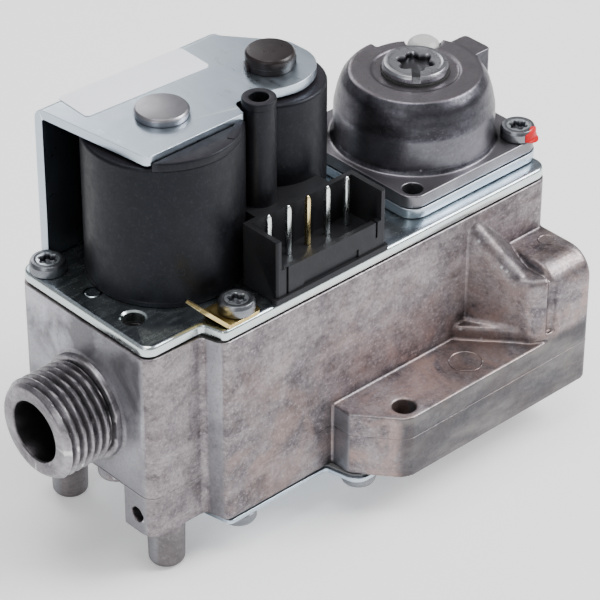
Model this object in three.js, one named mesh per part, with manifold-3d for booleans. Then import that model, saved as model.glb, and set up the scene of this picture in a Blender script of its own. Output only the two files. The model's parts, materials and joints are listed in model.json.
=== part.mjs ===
// Solenoid gas valve for a boiler: two safety solenoids in one moulded block, a servo pressure
// regulator on the right, a G 1/2 male inlet on the left and a flanged outlet at the right end.
// Millimetres, +Z up. While it is drawn, x runs from the inlet face of the casting towards the
// outlet, y from its front left wall towards the back, and z = 0 is the top of the base plate.
// The last group moves the whole valve so that its origin is under the middle of its box.
import * as THREE from "three";
import { mergeVertices } from "three/addons/utils/BufferGeometryUtils.js";
import Module from "manifold-3d";

const wasm = await Module();
wasm.setup();

// ---------- driving dimensions ----------
const ORIGIN = [45.35, 9.875, -54.9]; // the part's origin in drawing coordinates

const LEN = 103.4; // casting, without the inlet
const Y_STEP = -5.2; // front wall of the wide right section
const Y_BACK = 38.7;
const PLATE_T = 2.3; // zinc plated base plate
const GASKET_T = 0.4;
const Z_TOP = -PLATE_T - GASKET_T - 0.04; // top face of the casting
const Z_BOTTOM = -45.0; // bottom face of the casting
const COVER_T = 1.1; // bottom cover plate

const INLET_Y = 18.6;
const INLET_Z = -22.15;
const THREAD_R = 10.4775; // G 1/2
const THREAD_ROOT_R = 9.35;
const THREAD_PITCH = 1.814;
const THREAD_END_X = -13.2;
const INLET_BORE_R = 6.3;
const COLLAR_R = 11.1;

const TAP_R = 3.65; // pressure tap nipples
const TAP_X = 6.5;
const TAP_Y = [33.65, 3.55];
const TAP_END_Z = -54.9;

const WING_TOP_Z = -30.5; // mounting wing on the front
const WING_Y = -19.2;
const WING_HOLE = [53.0, -15.1, 2.43];
const HORN_TOP_Z = -14.2; // tall end of the wing
const HORN_X = [91.0, 102.7];

const COIL1 = [22.3, 20.5, 15.7]; // x, y, radius of the first solenoid
const COIL2 = [49.7, 20.5, 11.1];
const COIL_TOP_Z = 30.7;
const YOKE_TOP_Z = 33.4;
const YOKE_T = 2.0;
const PILLAR = [37.9, 10.6, 3.4, 1.9]; // fixing pillar: x, y, radius, bore radius

const SOCKET_X = [28.2, 56.7]; // electrical socket
const SOCKET_Y = [-5.0, 4.7];
const SOCKET_TOP_Z = 13.9;
const SOCKET_SILL_Z = 7.3;
const SOCKET_FLOOR_Z = 5.0;
const PIN_X0 = 31.6;
const PIN_PITCH = 5.08;
const PIN_Y = 1.1;
const PIN_TOP_Z = 16.0;

const REG = [85.6, 16.65]; // regulator axis
const REG_HALF = 18.3;
const REG_FLANGE_T = 5.1;
const REG_PLATE_T = 2.3; // sheet under the regulator's flange
const REG_HOLE = 15.0;
const DOME_TOP_Z = 20.2;

const HEAD_R = 3.6; // cheese head M4
const HEAD_H = 2.5;
const SHANK_R = 1.85;
const HOLE_R = 2.1;

const FIT = 0.04; // gap between faces that rest on each other

// ---------- solids ----------
function solid(geometry) {
  const g = geometry.clone();
  g.deleteAttribute("normal");
  g.deleteAttribute("uv");
  const m = mergeVertices(g, 1e-4);
  const p = m.attributes.position.array;
  const src = m.index.array;
  const t = [];
  let vol = 0;
  for (let i = 0; i < src.length; i += 3) {
    const [a, b, c] = [src[i], src[i + 1], src[i + 2]];
    if (a === b || b === c || a === c) continue;
    t.push(a, b, c);
    const [A, B, C] = [a, b, c].map((k) => new THREE.Vector3(p[3 * k], p[3 * k + 1], p[3 * k + 2]));
    vol += A.dot(B.cross(C));
  }
  if (vol < 0) for (let i = 0; i < t.length; i += 3) [t[i + 1], t[i + 2]] = [t[i + 2], t[i + 1]];
  return new wasm.Manifold(
    new wasm.Mesh({ numProp: 3, vertProperties: new Float32Array(p), triVerts: new Uint32Array(t) }),
  );
}
const add = (...s) => s.slice(1).reduce((a, b) => a.add(b), s[0]);
const cut = (a, ...s) => s.reduce((x, y) => x.subtract(y), a);

// A closed outline whose corners [x, y, r] are rounded.
function outline(points) {
  const n = points.length;
  const out = [];
  for (let i = 0; i < n; i++) {
    const [px, py] = points[(i + n - 1) % n];
    const [x, y, r = 0] = points[i];
    const [qx, qy] = points[(i + 1) % n];
    if (!r) {
      out.push([x, y]);
      continue;
    }
    const u = new THREE.Vector2(px - x, py - y).normalize();
    const v = new THREE.Vector2(qx - x, qy - y).normalize();
    const half = Math.acos(Math.max(-1, Math.min(1, u.dot(v)))) / 2;
    const d = r / Math.tan(half);
    const mid = u.clone().add(v).normalize().multiplyScalar(r / Math.sin(half));
    const c = new THREE.Vector2(x + mid.x, y + mid.y);
    const a0 = Math.atan2(y + u.y * d - c.y, x + u.x * d - c.x);
    let da = Math.atan2(y + v.y * d - c.y, x + v.x * d - c.x) - a0;
    if (da > Math.PI) da -= 2 * Math.PI;
    if (da < -Math.PI) da += 2 * Math.PI;
    const steps = Math.max(1, Math.round(Math.abs(da) / (Math.PI / 7)));
    for (let k = 0; k <= steps; k++) {
      const a = a0 + (da * k) / steps;
      out.push([c.x + r * Math.cos(a), c.y + r * Math.sin(a)]);
    }
  }
  return out;
}
function extrude(points, depth) {
  const shape = new THREE.Shape(points.map(([x, y]) => new THREE.Vector2(x, y)));
  return new THREE.ExtrudeGeometry(shape, { depth, bevelEnabled: false });
}
const prismZ = (pts, z0, z1) => solid(extrude(outline(pts), z1 - z0).translate(0, 0, z0));
// profile in (y, z), along x
function prismX(pts, x0, x1) {
  const m = new THREE.Matrix4().makeBasis(
    new THREE.Vector3(0, 1, 0),
    new THREE.Vector3(0, 0, 1),
    new THREE.Vector3(1, 0, 0),
  );
  return solid(extrude(outline(pts), x1 - x0).applyMatrix4(m).translate(x0, 0, 0));
}
// profile in (x, z), along y
function prismY(pts, y0, y1) {
  const m = new THREE.Matrix4().makeBasis(
    new THREE.Vector3(1, 0, 0),
    new THREE.Vector3(0, 0, 1),
    new THREE.Vector3(0, -1, 0),
  );
  return solid(extrude(outline(pts), y1 - y0).applyMatrix4(m).translate(0, y1, 0));
}
const box = (x0, x1, y0, y1, z0, z1) =>
  solid(
    new THREE.BoxGeometry(x1 - x0, y1 - y0, z1 - z0).translate((x0 + x1) / 2, (y0 + y1) / 2, (z0 + z1) / 2),
  );
const facets = (seg) => Math.max(8, 2 * Math.round(seg * 0.26));
// Turned solid about the z axis through (x, y): profile [[r, z], ...], on the axis at both ends.
function turnZ(x, y, profile, seg = 32) {
  const g = new THREE.LatheGeometry(profile.map(([r, z]) => new THREE.Vector2(r, z)), facets(seg));
  return solid(g.rotateX(Math.PI / 2).translate(x, y, 0));
}
const rod = (x, y, z0, z1, r, seg = 32) => turnZ(x, y, [[0, z0], [r, z0], [r, z1], [0, z1]], seg);
// The same about an axis along x through (y, z): profile [[r, x], ...].
function turnX(y, z, profile, seg = 32) {
  const g = new THREE.LatheGeometry(profile.map(([r, x]) => new THREE.Vector2(r, x)), facets(seg));
  return solid(g.rotateZ(-Math.PI / 2).translate(0, y, z));
}
const rodX = (y, z, x0, x1, r, seg = 24) => turnX(y, z, [[0, x0], [r, x0], [r, x1], [0, x1]], seg);
function rodY(x, z, y0, y1, r, seg = 16) {
  return solid(
    new THREE.CylinderGeometry(r, r, y1 - y0, seg).translate(x, (y0 + y1) / 2, z),
  );
}
// Ring about a z axis: outer radius, inner radius.
const ring = (x, y, z0, z1, r1, r0, seg = 32) =>
  turnZ(x, y, [[r0, z0], [r1, z0], [r1, z1], [r0, z1], [r0, z0]], seg);
// Everything on the side of the plane that its normal points to.
function above(point, normal) {
  const g = new THREE.BoxGeometry(300, 300, 120).translate(0, 0, 60);
  const q = new THREE.Quaternion().setFromUnitVectors(new THREE.Vector3(0, 0, 1), normal.clone().normalize());
  return solid(g.applyQuaternion(q).translate(point.x, point.y, point.z));
}

class Helix extends THREE.Curve {
  constructor(x, y, z0, z1, r, turns) {
    super();
    Object.assign(this, { x, y, z0, z1, r, turns });
  }
  getPoint(t, target = new THREE.Vector3()) {
    const a = 2 * Math.PI * this.turns * t;
    return target.set(this.x + this.r * Math.cos(a), this.y + this.r * Math.sin(a), this.z0 + (this.z1 - this.z0) * t);
  }
}
function coilSpring(x, y, z0, z1, r, wire, turns) {
  const section = new THREE.Shape();
  for (let i = 0; i < 4; i++) {
    const a = (i * Math.PI) / 2;
    section[i ? "lineTo" : "moveTo"]((wire / 2) * Math.cos(a), (wire / 2) * Math.sin(a));
  }
  section.closePath();
  return solid(
    new THREE.ExtrudeGeometry(section, {
      steps: Math.round(turns * 8),
      bevelEnabled: false,
      extrudePath: new Helix(x, y, z0 + wire / 2, z1 - wire / 2, r, turns),
    }),
  );
}

// ---------- materials ----------
const mat = (color, roughness, metalness) => new THREE.MeshStandardMaterial({ color, roughness, metalness });
const M = {
  casting: mat(0x968e8f, 0.5, 0.8),
  zinc: mat(0xa9b4b9, 0.3, 0.9),
  steel: mat(0x85868c, 0.35, 0.95),
  coil: mat(0x1c1b1e, 0.6, 0),
  bobbin: mat(0x2a2a2a, 0.6, 0),
  copper: mat(0xb0643a, 0.35, 0.9),
  rubber: mat(0x151515, 0.9, 0),
  brass: mat(0xb08d3f, 0.35, 0.9),
  pin: mat(0xc2c2c0, 0.25, 0.95),
  cap: mat(0x1d1718, 0.4, 0),
  cover: mat(0xa5a3a8, 0.35, 0.85),
  clear: mat(0xdfe3da, 0.35, 0),
  white: mat(0xe9e9ee, 0.5, 0),
};
const assembly = new THREE.Group();
function part(name, body, material) {
  const m = body.getMesh();
  const n = m.numProp;
  const v = new Float32Array(m.numVert * 3);
  for (let i = 0; i < m.numVert; i++) v.set(m.vertProperties.subarray(i * n, i * n + 3), i * 3);
  const g = new THREE.BufferGeometry();
  g.setAttribute("position", new THREE.BufferAttribute(v, 3));
  g.setIndex(new THREE.BufferAttribute(m.triVerts, 1));
  g.computeVertexNormals();
  const mesh = new THREE.Mesh(g, material.clone());
  mesh.name = name;
  assembly.add(mesh);
}

// ---------- shared outlines ----------
// Plan outline of the casting and of the plate on it, moved in by d.
const plan = (d = 0) => [
  [d, d, 2.7],
  [13.6 - d, d, 1.3],
  [15.1 - d, Y_STEP + d, 1.3],
  [LEN - d, Y_STEP + d, 3.2],
  [LEN - d, Y_BACK - d, 3.2],
  [d, Y_BACK - d, 3.2],
];
const COVER_LOBE = [47.0, -8.6, 4.2];
const coverPlan = (d) => [
  [14.4 + d, 0.8 + d, 1.2],
  [15.6 + d, Y_STEP + d, 1.2],
  [41.2 + d, Y_STEP + d, 1.0],
  [42.9 + d, -12.9 + d, 3.2],
  [51.2 - d, -12.9 + d, 3.2],
  [52.6 - d, Y_STEP + d, 1.0],
  [LEN - 0.6 - d, Y_STEP + d, 3],
  [LEN - 0.6 - d, Y_BACK - 0.6 - d, 3],
  [14.4 + d, Y_BACK - 0.6 - d, 1.2],
];
const PLATE_SCREWS = {
  rear_left: [3.9, 33.9],
  earth: [21.0, -1.6],
  rear_right: [64.0, 34.4],
};
const REG_SCREWS = {
  front_right: [REG[0] + REG_HOLE, REG[1] - REG_HOLE],
  rear_right: [REG[0] + REG_HOLE, REG[1] + REG_HOLE],
  rear_left: [REG[0] - REG_HOLE, REG[1] + REG_HOLE],
};
const REG_OPEN_HOLE = [REG[0] - REG_HOLE, REG[1] - REG_HOLE];
const COVER_SCREWS = [
  [21.0, -1.6],
  [COVER_LOBE[0], COVER_LOBE[1]],
  [96.5, -1.4],
  [98.6, 34.6],
  [58.0, 34.9],
  [19.6, 34.9],
];

// ---------- valve body ----------
{
  let b = prismZ(plan(), Z_BOTTOM, Z_TOP);
  // space between the two tap feet
  b = cut(b, box(-1, 13.7, 8.4, 28.9, Z_BOTTOM - 1, -36.0));
  // mounting wing, its horn and the sloping web between the horn and the wall
  b = add(
    b,
    prismZ([[42.9, -3], [42.9, -10.1, 2], [49.7, -18.3, 1], [51.7, WING_Y, 0.6], [HORN_X[1], WING_Y, 1.5], [HORN_X[1], -3]], Z_BOTTOM, WING_TOP_Z),
    prismX([[-3, Z_BOTTOM], [-3, HORN_TOP_Z], [WING_Y, HORN_TOP_Z, 6], [WING_Y, Z_BOTTOM]], HORN_X[0], HORN_X[1]),
    prismZ([[76.6, -3], [76.6, -5.6], [82.9, -12.4], [86.9, -17.0], [91.1, -17.6], [92.4, -18.8], [95, -18.8], [95, -3]], WING_TOP_Z - 1, WING_TOP_Z + 2.8),
    cut(
      prismZ([[80.0, -3], [80.0, -5.4], [84.4, -11.6, 6], [88.6, -17.6, 2], [91.6, -19.0, 1], [97, -19.0], [97, -3]], WING_TOP_Z, Z_TOP - 0.6),
      above(new THREE.Vector3(82.4, -5.2, -5.1), new THREE.Vector3(151.5, -75.3, 182.1)),
    ),
  );
  // inlet with its collar and thread
  const thread = [[0, THREAD_END_X], [9.3, THREAD_END_X], [10.0, THREAD_END_X + 0.7]];
  for (let i = 0; i < 6; i++) {
    const x = THREAD_END_X + 1.3 + i * THREAD_PITCH;
    thread.push([THREAD_R, x], [THREAD_ROOT_R, x + THREAD_PITCH / 2]);
  }
  thread.push([THREAD_R - 0.2, -1.7], [COLLAR_R, -1.4], [COLLAR_R, 0.5], [0, 0.5]);
  b = add(b, turnX(INLET_Y, INLET_Z, thread, 36));
  // pressure tap nipples
  for (const y of TAP_Y)
    b = add(b, turnZ(TAP_X, y, [[0, -44], [TAP_R + 0.15, -44], [TAP_R, TAP_END_Z + 1.4], [TAP_R - 0.4, TAP_END_Z + 0.4], [TAP_R - 1.3, TAP_END_Z], [0, TAP_END_Z]], 24));
  b = add(b, turnZ(TAP_X, INLET_Y, [[0, -34], [TAP_R, -34], [TAP_R, -41.2], [TAP_R - 1, -42.2], [0, -42.2]], 24));

  // gas passages
  const seats = [];
  const holes = [
    rodX(INLET_Y, INLET_Z, THREAD_END_X - 1, 12, INLET_BORE_R, 32),
    // first valve chamber and its seat
    cut(rod(COIL1[0], COIL1[1], -28.6, -5, 13, 40), rod(COIL1[0], COIL1[1], -30, -14, 6.5, 32)),
    rod(COIL1[0], COIL1[1], -6, Z_TOP + 1, 7.2, 32),
    rod(COIL1[0], COIL1[1], -32, -13, 4.5, 32),
    // second valve chamber and its seat
    cut(rod(COIL2[0], COIL2[1], -28.6, -5, 9.5, 36), rod(COIL2[0], COIL2[1], -30, -14, 6.0, 32)),
    rod(COIL2[0], COIL2[1], -6, Z_TOP + 1, 6.6, 32),
    rod(COIL2[0], COIL2[1], -32, -13, 4.0, 32),
    // passage under both seats
    box(17, 60, 7.2, 31.5, Z_BOTTOM - 1, -31),
    // from the second chamber to the space under the regulator seat
    rodX(COIL2[1], -24.5, 57, 68, 3.4, 20),
    box(66, 72.4, 16, 25, -32, -20.5),
    box(66, 99, 5, 30, Z_BOTTOM - 1, -31),
    rod(REG[0], REG[1], -32, -27, 4.5, 32),
    // regulator chamber and outlet
    rod(REG[0], REG[1], -28.6, Z_TOP + 1, 11, 36),
    rodX(REG[1], -17.5, 88, LEN + 1, 7.0, 32),
  ];
  // outlet flange screws
  for (const dy of [-10.5, 10.5]) for (const dz of [-10.5, 10.5]) holes.push(rodX(REG[1] + dy, -17.5 + dz, LEN - 7, LEN + 1, 1.65, 12));
  // tap bores, the cross drilling to the front tap, the inlet tap's cross drilling
  for (const y of TAP_Y) holes.push(rod(TAP_X, y, TAP_END_Z - 1, -43.0, 2.15, 20), rod(TAP_X, y, -44, y > 20 ? -22 : -41, 0.9, 12));
  holes.push(rodX(4.4, -40.9, -1, 68, 1.55, 16), rodY(TAP_X, -22.6, 22, 34.4, 0.9, 12));
  // screw holes from above and below, the open locating hole, wing hole, horn hole
  for (const [x, y] of [...Object.values(PLATE_SCREWS), ...Object.values(REG_SCREWS), REG_OPEN_HOLE])
    holes.push(rod(x, y, -12, Z_TOP + 1, HOLE_R, 16));
  for (const [x, y] of COVER_SCREWS) holes.push(rod(x, y, Z_BOTTOM - 1, -36.5, HOLE_R, 16));
  holes.push(rod(5.4, 10.2, -9, Z_TOP + 1, 2.35, 16));
  holes.push(rod(WING_HOLE[0], WING_HOLE[1], Z_BOTTOM - 1, WING_TOP_Z + 1, WING_HOLE[2], 20));
  holes.push(rod(96.6, -12.2, Z_BOTTOM - 1, -30, 2.43, 20));
  b = cut(b, ...holes);
  part("valve_body", b, M.casting);
}

// ---------- base plate and gaskets ----------
{
  const through = (z0, z1, tube1, tube2) => [
    rod(COIL1[0], COIL1[1], z0, z1, tube1, 32),
    rod(COIL2[0], COIL2[1], z0, z1, tube2, 32),
    rod(REG[0], REG[1], z0, z1, 10.6, 36),
    rod(5.4, 10.2, z0, z1, 2.35, 20),
    ...[...Object.values(PLATE_SCREWS), ...Object.values(REG_SCREWS), REG_OPEN_HOLE].map(([x, y]) => rod(x, y, z0, z1, HOLE_R, 16)),
  ];
  part("base_plate", cut(prismZ(plan(0.15), -PLATE_T, 0), ...through(-4, 1, 5.9, 4.9), rod(5.2, 22.0, -4, 1, 1.95, 20), rod(PILLAR[0], PILLAR[1], -4, 1, 1.3, 12)), M.zinc);
  part("base_gasket", cut(prismZ(plan(0.8), Z_TOP + FIT / 2, -PLATE_T - FIT / 2), ...through(-4, 1, 9.3, 8.7)), M.rubber);
  part("plate_rivet", turnZ(5.2, 22.0, [[0, -2.2], [1.7, -2.2], [1.7, 0.02], [1.4, 0.2], [0, 0.2]], 20), M.zinc);

  const g0 = Z_BOTTOM - GASKET_T - FIT;
  const cavity = (z0, z1) => [box(18, 59, 8.2, 30.5, z0, z1), box(67, 98, 6, 29, z0, z1)];
  const screwHoles = COVER_SCREWS.map(([x, y]) => rod(x, y, -50, -40, HOLE_R, 16));
  part("bottom_gasket", cut(prismZ(coverPlan(0.5), g0, Z_BOTTOM - FIT), ...cavity(-50, -40), ...screwHoles), M.rubber);
  part("bottom_cover", cut(prismZ(coverPlan(0), g0 - FIT - COVER_T, g0 - FIT), ...screwHoles), M.zinc);
}

// ---------- screws ----------
// Cheese head screw with a six lobe recess, head seat at z, pointing down (dir 1) or up (dir -1).
function screw(name, x, y, z, length, dir = 1) {
  const p = [[0, z - dir * length], [SHANK_R, z - dir * length], [SHANK_R, z], [HEAD_R, z], [HEAD_R, z + dir * (HEAD_H - 0.7)], [HEAD_R - 0.35, z + dir * HEAD_H], [0, z + dir * HEAD_H]];
  const hex = [];
  for (let i = 0; i < 12; i++) {
    const r = i % 2 ? 1.35 : 1.85;
    hex.push([x + r * Math.cos((i * Math.PI) / 6), y + r * Math.sin((i * Math.PI) / 6)]);
  }
  const [za, zb] = [z + dir * (HEAD_H - 1.4), z + dir * (HEAD_H + 0.5)];
  part(name, cut(turnZ(x, y, p, 24), prismZ(hex, Math.min(za, zb), Math.max(za, zb))), M.steel);
}
screw("plate_screw_rear_left", ...PLATE_SCREWS.rear_left, FIT, 11);
screw("plate_screw_rear_right", ...PLATE_SCREWS.rear_right, FIT, 11);
screw("earth_screw", ...PLATE_SCREWS.earth, 0.86, 11);
for (const [k, [x, y]] of Object.entries(REG_SCREWS)) screw("regulator_screw_" + k, x, y, REG_FLANGE_T + 0.1, 16);
COVER_SCREWS.forEach(([x, y], i) => screw("cover_screw_" + (i + 1), x, y, Z_BOTTOM - GASKET_T - COVER_T - 3 * FIT, 9, -1));

// ---------- earth tab ----------
{
  const [sx, sy] = PLATE_SCREWS.earth;
  const base = cut(prismZ([[15.9, -5.0, 0.6], [24.6, -5.0, 1.5], [24.6, 2.6, 2.5], [15.9, 2.6, 0.6]], FIT, FIT + 0.75), rod(sx, sy, -1, 3, HOLE_R, 16));
  const s = Math.SQRT1_2;
  // blade rising at 45 degrees towards the inlet side
  const blade = prismY([[16.4, FIT], [16.9, FIT + 0.75], [16.1, FIT + 0.75], [16.1 - 8.6 * s, FIT + 0.75 + 8.6 * s], [16.1 - 8.6 * s - 0.53, FIT + 0.22 + 8.6 * s], [15.7, FIT]], -4.75, 1.55);
  const tip = add(
    prismZ([[5, 3], [12, 3], [12, -0.1], [9.4, 0.6]], -1, 12),
    prismZ([[5, -7], [12, -7], [12, -3.1], [9.4, -3.8]], -1, 12),
  );
  part("earth_tab", cut(add(base, blade), tip), M.brass);
}

// ---------- moulded coil block with the electrical socket ----------
{
  const z0 = FIT * 2;
  let h = add(
    turnZ(COIL1[0], COIL1[1], [[0, z0], [COIL1[2], z0], [COIL1[2], COIL_TOP_Z - 0.6], [COIL1[2] - 0.6, COIL_TOP_Z], [0, COIL_TOP_Z]], 56),
    turnZ(COIL2[0], COIL2[1], [[0, z0], [COIL2[2], z0], [COIL2[2], COIL_TOP_Z - 0.6], [COIL2[2] - 0.6, COIL_TOP_Z], [0, COIL_TOP_Z]], 44),
    // raised segment beside the yoke's front edge
    cut(rod(COIL1[0], COIL1[1], 30, COIL_TOP_Z + 1.3, COIL1[2] - 0.1, 56), box(0, 60, 9.9, 40, 29, 35)),
    box(28, 46, 13.5, 27.5, z0, COIL_TOP_Z - 0.05),
    rod(PILLAR[0], PILLAR[1], z0, 35.3, PILLAR[2], 28),
    box(PILLAR[0] - 2.6, PILLAR[0] + 2.6, PILLAR[1], 16, z0, COIL_TOP_Z - 0.1),
    // socket
    box(SOCKET_X[0], SOCKET_X[1], SOCKET_Y[0], SOCKET_Y[1], z0, SOCKET_TOP_Z),
    box(33, 52, SOCKET_Y[1] - 0.5, 12, z0, SOCKET_TOP_Z - 1.4),
  );
  const w = 1.2;
  h = cut(
    h,
    box(SOCKET_X[0] + w, SOCKET_X[1] - w, SOCKET_Y[0] + w, SOCKET_Y[1] - w, SOCKET_FLOOR_Z, SOCKET_TOP_Z + 1),
    box(SOCKET_X[0] + w, SOCKET_X[1] - w, SOCKET_Y[0] - 1, SOCKET_Y[0] + w + 0.5, SOCKET_SILL_Z, SOCKET_TOP_Z + 1),
    box(54.1, 54.6, SOCKET_Y[0] - 1, SOCKET_Y[0] + w + 0.2, 3.7, SOCKET_SILL_Z + 1),
    // room for the windings, open at the bottom
    rod(COIL1[0], COIL1[1], -1, 28.2, 14.0, 40),
    rod(COIL1[0], COIL1[1], -1, 32, 6.4, 32),
    rod(COIL2[0], COIL2[1], -1, 28.2, 9.6, 36),
    rod(COIL2[0], COIL2[1], -1, 32, 5.2, 32),
    rod(PILLAR[0], PILLAR[1], 1.6, 36, PILLAR[3], 20),
    rod(PILLAR[0], PILLAR[1], -1, 3, 1.3, 12),
  );
  for (let i = 0; i < 5; i++)
    h = cut(h, box(PIN_X0 + i * PIN_PITCH - 0.55, PIN_X0 + i * PIN_PITCH + 0.55, PIN_Y - 0.55, PIN_Y + 0.55, 1.5, SOCKET_FLOOR_Z + 1));
  part("coil_block", h, M.coil);

  // fixing screw down in the pillar
  part("coil_fixing_screw", cut(turnZ(PILLAR[0], PILLAR[1], [[0, -2.2], [1.1, -2.2], [1.1, 1.7], [1.75, 1.7], [1.75, 31.6], [0, 31.6]], 20), box(PILLAR[0] - 2, PILLAR[0] + 2, PILLAR[1] - 0.3, PILLAR[1] + 0.3, 30.6, 32)), M.steel);

  for (let i = 0; i < 5; i++) {
    const x = PIN_X0 + i * PIN_PITCH;
    const pin = prismY([[x - 0.5, 1.55], [x + 0.5, 1.55], [x + 0.5, PIN_TOP_Z, 0.45], [x - 0.5, PIN_TOP_Z, 0.45]], PIN_Y - 0.5, PIN_Y + 0.5);
    part("contact_pin_" + (i + 1), pin, i === 2 ? M.brass : M.pin);
  }
}
function coilInside(n, [x, y], rTube, rFoot, rOut, rWind) {
  // bobbin, winding
  const r0 = rTube + 0.3;
  part(
    "bobbin_" + n,
    turnZ(x, y, [[r0, 0.5], [rOut, 0.5], [rOut, 1.5], [r0 + 1, 1.5], [r0 + 1, 27], [rOut, 27], [rOut, 28], [r0, 28], [r0, 0.5]], 32),
    M.bobbin,
  );
  part("winding_" + n, ring(x, y, 1.7, 26.8, rWind, r0 + 1.2, 32), M.copper);
  // guide tube with the flange that seals it to the base plate
  part("guide_tube_" + n, turnZ(x, y, [[rTube - 0.6, -2.7], [rFoot, -2.7], [rFoot, -2.4], [rTube, -2.4], [rTube, 30.9], [rTube - 0.6, 30.9], [rTube - 0.6, -2.7]], 32), M.steel);
}
coilInside(1, COIL1, 5.6, 9.0, 13.7, 13.0);
coilInside(2, COIL2, 4.6, 8.4, 9.3, 8.8);

// fixed cores: the first one's head is the disc on the yoke
part("fixed_core_1", turnZ(COIL1[0], COIL1[1], [[0, 18], [4.85, 18], [4.85, 31.1], [3.9, 31.3], [3.9, YOKE_TOP_Z + FIT], [5.3, YOKE_TOP_Z + FIT], [5.3, 34.75], [5.0, 35.05], [0, 35.05]], 40), M.steel);
part("fixed_core_2", turnZ(COIL2[0], COIL2[1], [[0, 18], [3.85, 18], [3.85, 31.1], [2.9, 31.3], [2.9, 35.6], [0, 35.6]], 32), M.steel);
part("retaining_cap", turnZ(COIL2[0], COIL2[1], [[3.05, YOKE_TOP_Z + FIT], [4.9, YOKE_TOP_Z + FIT], [4.9, 34.6], [4.6, 34.7], [4.6, 36.1], [4.2, 36.7], [0, 36.8], [0, 35.8], [3.05, 35.8], [3.05, YOKE_TOP_Z + FIT]], 36), M.cap);

// plungers with their valve discs and return springs
function plunger(n, [x, y], r, rDisc) {
  part("plunger_" + n, turnZ(x, y, [[0, -12.3], [rDisc + 0.5, -12.3], [rDisc + 0.5, -10.6], [r, -9.8], [r, 15.3], [r - 1.2, 15.3], [r - 1.2, 6], [0, 6]], 28), M.steel);
  part("valve_disc_" + n, ring(x, y, -13.96, -12.36, rDisc, 0.9, 28), M.rubber);
  part("return_spring_" + n, coilSpring(x, y, 6.1, 17.9, r - 1.85, 0.7, 5), M.pin);
}
plunger(1, COIL1, 4.75, 6.2);
plunger(2, COIL2, 3.75, 5.6);

// ---------- yoke ----------
{
  const zt = YOKE_TOP_Z;
  const zb = zt - YOKE_T;
  const top = prismZ(
    [[6.4, 38.9], [9.9, 10.2, 1.2], [34.1, 10.2, 0.8], [34.6, 12.9, 0.8], [42.4, 13.6, 0.8], [49.9, 11.3, 8.5], [59.1, 14.6, 8.5], [58.6, 25.2, 4], [50.2, 35.6, 3], [49.6, 38.9]],
    zb,
    zt,
  );
  // back leg with the outer bend
  const leg = cut(
    prismY([[6.4, 0.1, 0.6], [49.6, 0.1, 0.6], [49.6, zt], [6.4, zt]], 36.9, 38.95),
  );
  let y = add(top, leg);
  // round the bend
  y = cut(y, cut(box(-5, 70, 36.9, 40, zt - 2.2, zt + 1), (() => {
    const g = new THREE.CylinderGeometry(2.2, 2.2, 80, 24).rotateZ(Math.PI / 2).translate(32, 36.75, zt - 2.2);
    return solid(g);
  })()));
  y = cut(y, rod(PILLAR[0], PILLAR[1], 30, 35, PILLAR[2] + 0.45, 28), rod(COIL1[0], COIL1[1], 30, 35, 4.2, 28), rod(COIL2[0], COIL2[1], 30, 35, 3.2, 28));
  part("magnet_yoke", y, M.zinc);
  part("blank_label", prismZ([[11.2, 36.4], [11.35, 29.3], [36, 28.2, 0], [40.1, 28.2, 3.5], [40.2, 36.4]], zt + 0.02, zt + 0.14), M.white);
}

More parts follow.
